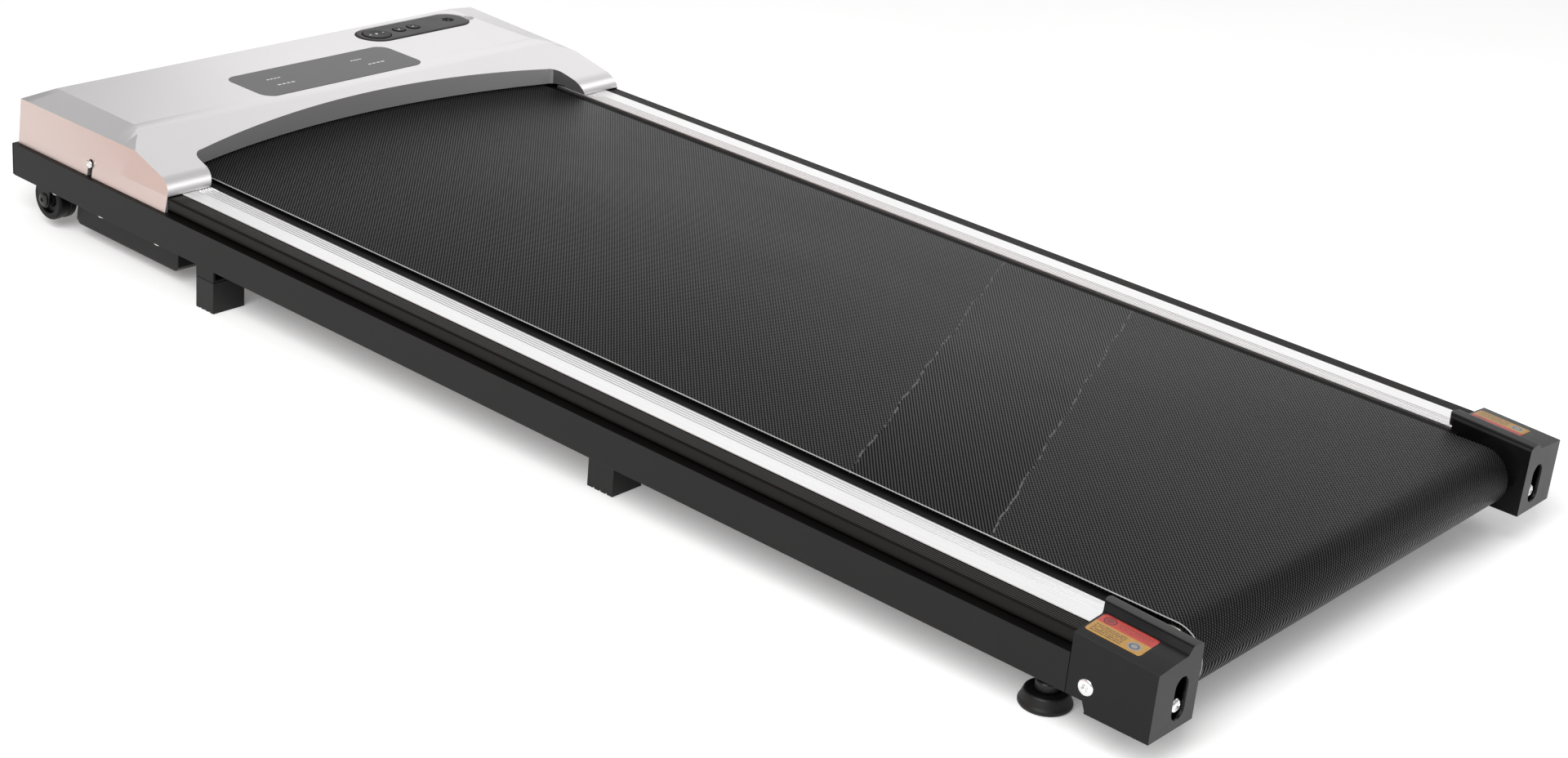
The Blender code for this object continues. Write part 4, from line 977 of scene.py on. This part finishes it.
def make_label(label, side):
    """The printed label lies on the cap's top, up to the foot of the ridge."""
    rear, front = REAR + 0.0200, REAR + 0.0612
    inner, outer = COVE_FOOT, 0.2550
    across, along = 20, 24
    corner = 0.0022
    verts, uvs = [], []
    for j in range(along + 1):
        for i in range(across + 1):
            u, v = j / along, i / across
            x = outer + (inner - outer) * v
            y = front + (rear - front) * u
            near_y = min(y - rear, front - y)
            near_x = min(x - inner, outer - x)
            if near_y < corner and near_x < corner:
                dx, dy = corner - near_x, corner - near_y
                reach = math.hypot(dx, dy)
                if reach > corner:
                    pull = (reach - corner) / reach
                    x += dx * pull * (1 if x < 0.5 * (inner + outer) else -1)
                    y += dy * pull * (1 if y < 0.5 * (rear + front) else -1)
            verts.append((side * x, y, cap_top(x, y) + 0.00012))
            uvs.append((u, v))
    faces = []
    for j in range(along):
        for i in range(across):
            a = j * (across + 1) + i
            faces.append((a, a + 1, a + across + 2, a + across + 1))
    piece = make_object("label_" + label, verts, faces)
    if piece.data.polygons[0].normal.z < 0:
        piece.data.flip_normals()
    layer = piece.data.uv_layers.new(name="label")
    for loop in piece.data.loops:
        layer.data[loop.index].uv = uvs[loop.vertex_index]
    thick = piece.modifiers.new("Thickness", "SOLIDIFY")
    thick.thickness = 0.0001
    thick.offset = -1
    add(piece, "printed_label", "frame", "printed_label")


# ---------------------------------------------------------------- fasteners, feet and wheels


def screw_head(name, centre, direction, radius, height):
    """A truss head with a cross recess, standing on a plane and facing the direction."""
    profile = [(radius * 0.98, -0.0004), (radius, 0.0002)]
    for i in range(1, 9):
        turn = math.radians(11 * i)
        profile.append((radius * math.cos(turn) ** 0.8, 0.0002 + (height - 0.0002) * math.sin(turn)))
    profile.append((0.0002, height))
    head = turned(name, profile, "Z", (0, 0, 0), 48)
    arm, thin = radius * 0.52, radius * 0.17
    for turn in (0, 1):
        half = (arm, thin) if turn == 0 else (thin, arm)
        rings = []
        for z, grow in ((height * 0.30, 0.35), (height + 0.0005, 1.1)):
            u, v = (half[0] * grow, half[1]) if turn == 0 else (half[0], half[1] * grow)
            rings.append([(-u, -v, z), (u, -v, z), (u, v, z), (-u, v, z)])
        combine(head, loft("recess", rings))
    smooth_by_angle(head, 35)
    spin = Vector((0, 0, 1)).rotation_difference(Vector(direction))
    head.data.transform(spin.to_matrix().to_4x4() @ Matrix.Rotation(0.5, 4, "Z"))
    head.location = centre
    add(head, "zinc_screw", "frame", "zinc_screw")


def make_screws():
    for label, side in SIDES.items():
        place = (side * HALF_WIDTH, REAR + 0.0487, 0.0461)
        screw_head("cap_side_screw_" + label, place, (side, 0, 0), 0.0057, 0.0016)
        place = (side * SLOT_X, REAR + 0.0036, 0.0428)
        screw_head("cap_rear_screw_" + label, place, (0, -1, 0), 0.0052, 0.0026)
        place = (side * (HOOD_HALF - 0.0004), HOOD_SCREW_Y, 0.0752)
        screw_head("hood_screw_" + label, place, (side, 0, 0), 0.0036, 0.0014)
        for i, y in enumerate((0.972, 1.0475, 1.112)):
            name = f"pan_screw_{label}_{i}"
            screw_head(name, (side * 0.2575, REAR + y, 0.0360), (0, 0, -1), 0.0048, 0.0022)


def make_wheel(label):
    node = "transport_wheel_" + label
    low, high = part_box(node)
    centre = 0.5 * (low + high)
    radius = 0.5 * (high.y - low.y)
    half = 0.5 * (high.x - low.x)
    bore, edge, groove = 0.0043, 0.0022, 0.0007
    rim = [(bore, 0.0010), (0.0070, 0.0010), (0.0074, 0.0016), (0.0078, 0.0034), (0.0116, 0.0034)]
    rim += [(0.0122, 0.0008), (0.0128, 0.0), (radius - edge, 0.0)]
    tread = [(radius - edge + edge * sine, -half + edge * drop) for sine, drop in quarter(8)]
    tread += [(radius, -0.0030), (radius - groove, -0.0024), (radius - groove, 0.0024), (radius, 0.0030)]
    tread += [(r, -along) for r, along in reversed(tread[:9])]
    profile = [(r, -(half - depth)) for r, depth in rim] + tread
    profile += [(r, half - depth) for r, depth in reversed(rim)]
    wheel = turned(node + "_tyre", profile, "X", (centre.x, centre.y, centre.z), 64, ring=True)
    smooth_by_angle(wheel, 30)
    add(wheel, "wheel_plastic", node, "wheel_plastic", node)


def make_wheel_bolt(label, side):
    node = "wheel_bolt_" + label
    low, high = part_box(node)
    y, z = 0.5 * (low.y + high.y), 0.5 * (low.z + high.z)
    outer = max(abs(low.x), abs(high.x))
    inner = min(abs(low.x), abs(high.x))
    profile = [(0.0006, outer - 0.0001), (0.0034, outer), (0.0048, outer - 0.0004)]
    profile += [(0.0055, outer - 0.0011), (0.0055, outer - 0.0017), (0.0040, outer - 0.0017)]
    profile += [(0.0040, inner + 0.0030)]
    profile += [(0.0064, inner + 0.0030), (0.0065, inner + 0.0006), (0.0058, inner), (0.0006, inner)]
    bolt = turned(node + "_head", [(r, side * x) for r, x in profile], "X", (0, y, z), 40)
    ends = sorted((side * (outer - 0.0012), side * (outer + 0.01)))
    combine(bolt, prism("socket", circle((y, z), 0.0021, 6), "X", *ends))
    smooth_by_angle(bolt, 35)
    add(bolt, "dark_metal", "frame", "black_steel", node)


def make_foot(label):
    node = "foot_pad_" + label
    low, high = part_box(node)
    centre = 0.5 * (low + high)
    radius = 0.5 * (high.x - low.x)
    height = high.z - low.z
    profile = [(radius - 0.0016, 0.0), (radius - 0.0006, 0.0003), (radius - 0.0001, 0.0010)]
    profile += [(radius, 0.0020), (radius - 0.0002, 0.0030), (radius - 0.0009, 0.0040)]
    for i in range(1, 7):
        t = i / 6
        profile.append((radius - 0.0009 - 0.0022 * t, 0.0040 + (height - 0.0052) * t))
    profile += [(0.0142, height - 0.0005), (0.0132, height), (0.0110, height - 0.0002)]
    profile += [(0.0080, height - 0.0008), (0.0002, height - 0.0009)]
    pad = turned(node + "_tread", profile, "Z", (centre.x, centre.y, low.z), 64)
    smooth_by_angle(pad, 40)
    add(pad, "black_rubber", node, "black_rubber", node)
    stud = "foot_stud_" + label
    low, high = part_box(stud)
    radius = 0.5 * (high.x - low.x)
    length = high.z - low.z
    profile = [(0.0002, 0.0), (0.0078, 0.0), (0.0082, 0.0004)]
    profile += [(0.0082, 0.0052), (0.0076, 0.0062), (0.0058, 0.0066)]
    pitch = 0.0015
    turns = int((length - 0.0080) / pitch)
    for i in range(turns):
        base = 0.0070 + i * pitch
        profile += [(radius - 0.0008, base), (radius, base + 0.45 * pitch), (radius, base + 0.55 * pitch)]
    profile += [(radius - 0.0008, length - 0.0006), (0.0002, length)]
    screw = turned(stud + "_thread", profile, "Z", (centre.x, centre.y, low.z), 40)
    smooth_by_angle(screw, 30)
    add(screw, "dark_metal", stud, "bright_steel", stud)


def make_block(node):
    """A rubber block with softened edges and a moulded tread underneath."""
    low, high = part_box(node)
    block = box(node + "_rubber", low, high)
    for i in range(3):
        y = low.y + (high.y - low.y) * (i + 1) / 4
        combine(block, box("groove", (low.x - 0.01, y - 0.0008, -0.01), (high.x + 0.01, y + 0.0008, 0.0010)))
    merge_close(block)
    round_edges(block, 0.0008, 3, 40)
    add(block, "black_rubber", "frame", "black_rubber", node)


# ---------------------------------------------------------------- carried-over CAD nodes


FINE_EDGES = {
    "side_frame": 0.0008,
    "front_crossmember": 0.0008,
    "belly_pan": 0.0010,
    "crossbar": 0.0007,
    "rear_bracket": 0.0004,
    "front_bracket": 0.0006,
    "side_rail": 0.00012,
    "tread_strip": 0.00012,
    "deck_board": 0.0010,
    "deck_cushion": 0.0006,
    "power_inlet": 0.0003,
    "power_rocker": 0.0003,
    "control_board": 0.0003,
    "motor_mount": 0.0006,
}
OTHER_LOOK = {
    "drive_belt": "plain_rubber",
    "tension_bolt_left": "dark_metal",
    "tension_bolt_right": "dark_metal",
}


def dress_cad(nodes, slots):
    """The CAD nodes that stay get their material and softly rounded edges."""
    for name, obj in nodes.items():
        if obj.hide_render:
            continue
        attributes = obj.data.attributes
        if "custom_normal" in attributes:
            attributes.remove(attributes["custom_normal"])
        wear(obj, OTHER_LOOK.get(name, slots[name]))
        weld = obj.modifiers.new("Weld", "WELD")
        weld.merge_threshold = 0.00001
        width = next((w for key, w in FINE_EDGES.items() if name.startswith(key)), 0.0002)
        round_edges(obj, width, 2)


# ---------------------------------------------------------------- stage


def make_camera():
    azimuth, elevation, roll = math.radians(-50.923), math.radians(23.847), math.radians(5.674)
    level = math.cos(elevation)
    back = Vector((math.sin(azimuth) * level, -math.cos(azimuth) * level, math.sin(elevation)))
    right = Vector((0, 0, 1)).cross(back).normalized()
    up = back.cross(right)
    x_axis = math.cos(roll) * right + math.sin(roll) * up
    y_axis = -math.sin(roll) * right + math.cos(roll) * up
    data = bpy.data.cameras.new("camera")
    data.sensor_width = 36.0
    data.sensor_fit = "HORIZONTAL"
    data.lens = 61.045
    data.clip_start = 0.05
    data.clip_end = 60.0
    camera = bpy.data.objects.new("camera", data)
    bpy.context.scene.collection.objects.link(camera)
    rotation = Matrix((x_axis, y_axis, back)).transposed().to_4x4()
    camera.matrix_world = Matrix.Translation((-1.47985, REAR - 0.68169, 0.85078)) @ rotation
    bpy.context.scene.camera = camera


def area_light(name, place, target, size, power, colour=(1, 1, 1)):
    data = bpy.data.lights.new(name, "AREA")
    data.shape = "RECTANGLE"
    data.size, data.size_y = size
    data.energy = power
    data.color = colour
    light = bpy.data.objects.new(name, data)
    light.location = place
    light.rotation_mode = "QUATERNION"
    light.rotation_quaternion = (Vector(target) - Vector(place)).to_track_quat("-Z", "Y")
    bpy.context.scene.collection.objects.link(light)
    return light


def make_stage():
    floor = box("floor", (-30, -30, -0.02), (30, 30, FLOOR_TOP))
    floor.data.materials.append(floor_material())
    world = bpy.data.worlds.new("studio")
    bpy.context.scene.world = world
    world.use_nodes = True
    background = world.node_tree.nodes["Background"].inputs
    background["Color"].default_value = (1.0, 1.0, 1.0, 1)
    background["Strength"].default_value = 0.47
    area_light("overhead", (-2.3, -0.9, 2.3), (0, 0, 0), (2.2, 2.2), 115)
    side = area_light("side_card", (2.5, 1.8, 1.6), (0.1, 0.4, 0.1), (3.2, 2.3), 19.0)
    side.visible_diffuse = False
    area_light("rear_card", (1.9, -1.2, 1.9), (0, 0.4, 0.1), (1.4, 1.4), 14.0)
    area_light("warm_side", (-2.6, 2.0, 0.7), (-0.2, 0.5, 0.05), (2.0, 1.0), 5, (1.0, 0.40, 0.22))
    view = bpy.context.scene.view_settings
    view.view_transform = "Standard"
    view.look = "None"


def main():
    slots = {row["node"]: row["material_slot"] for row in frame["record"]["subparts"]}
    MATERIALS.update((name, kind(name, *values)) for name, (kind, *values) in LOOKS.items())
    make_camera()
    make_hood()
    make_display()
    make_remote()
    make_belt()
    for label, side in SIDES.items():
        make_cap(label, side)
        make_label(label, side)
        make_wheel(label)
        make_wheel_bolt(label, side)
        make_foot(label)
    for node in ("front_block_left", "front_block_right", "middle_block_left", "middle_block_right"):
        make_block(node)
    make_screws()
    dress_cad(frame["nodes"], slots)
    make_stage()


main()
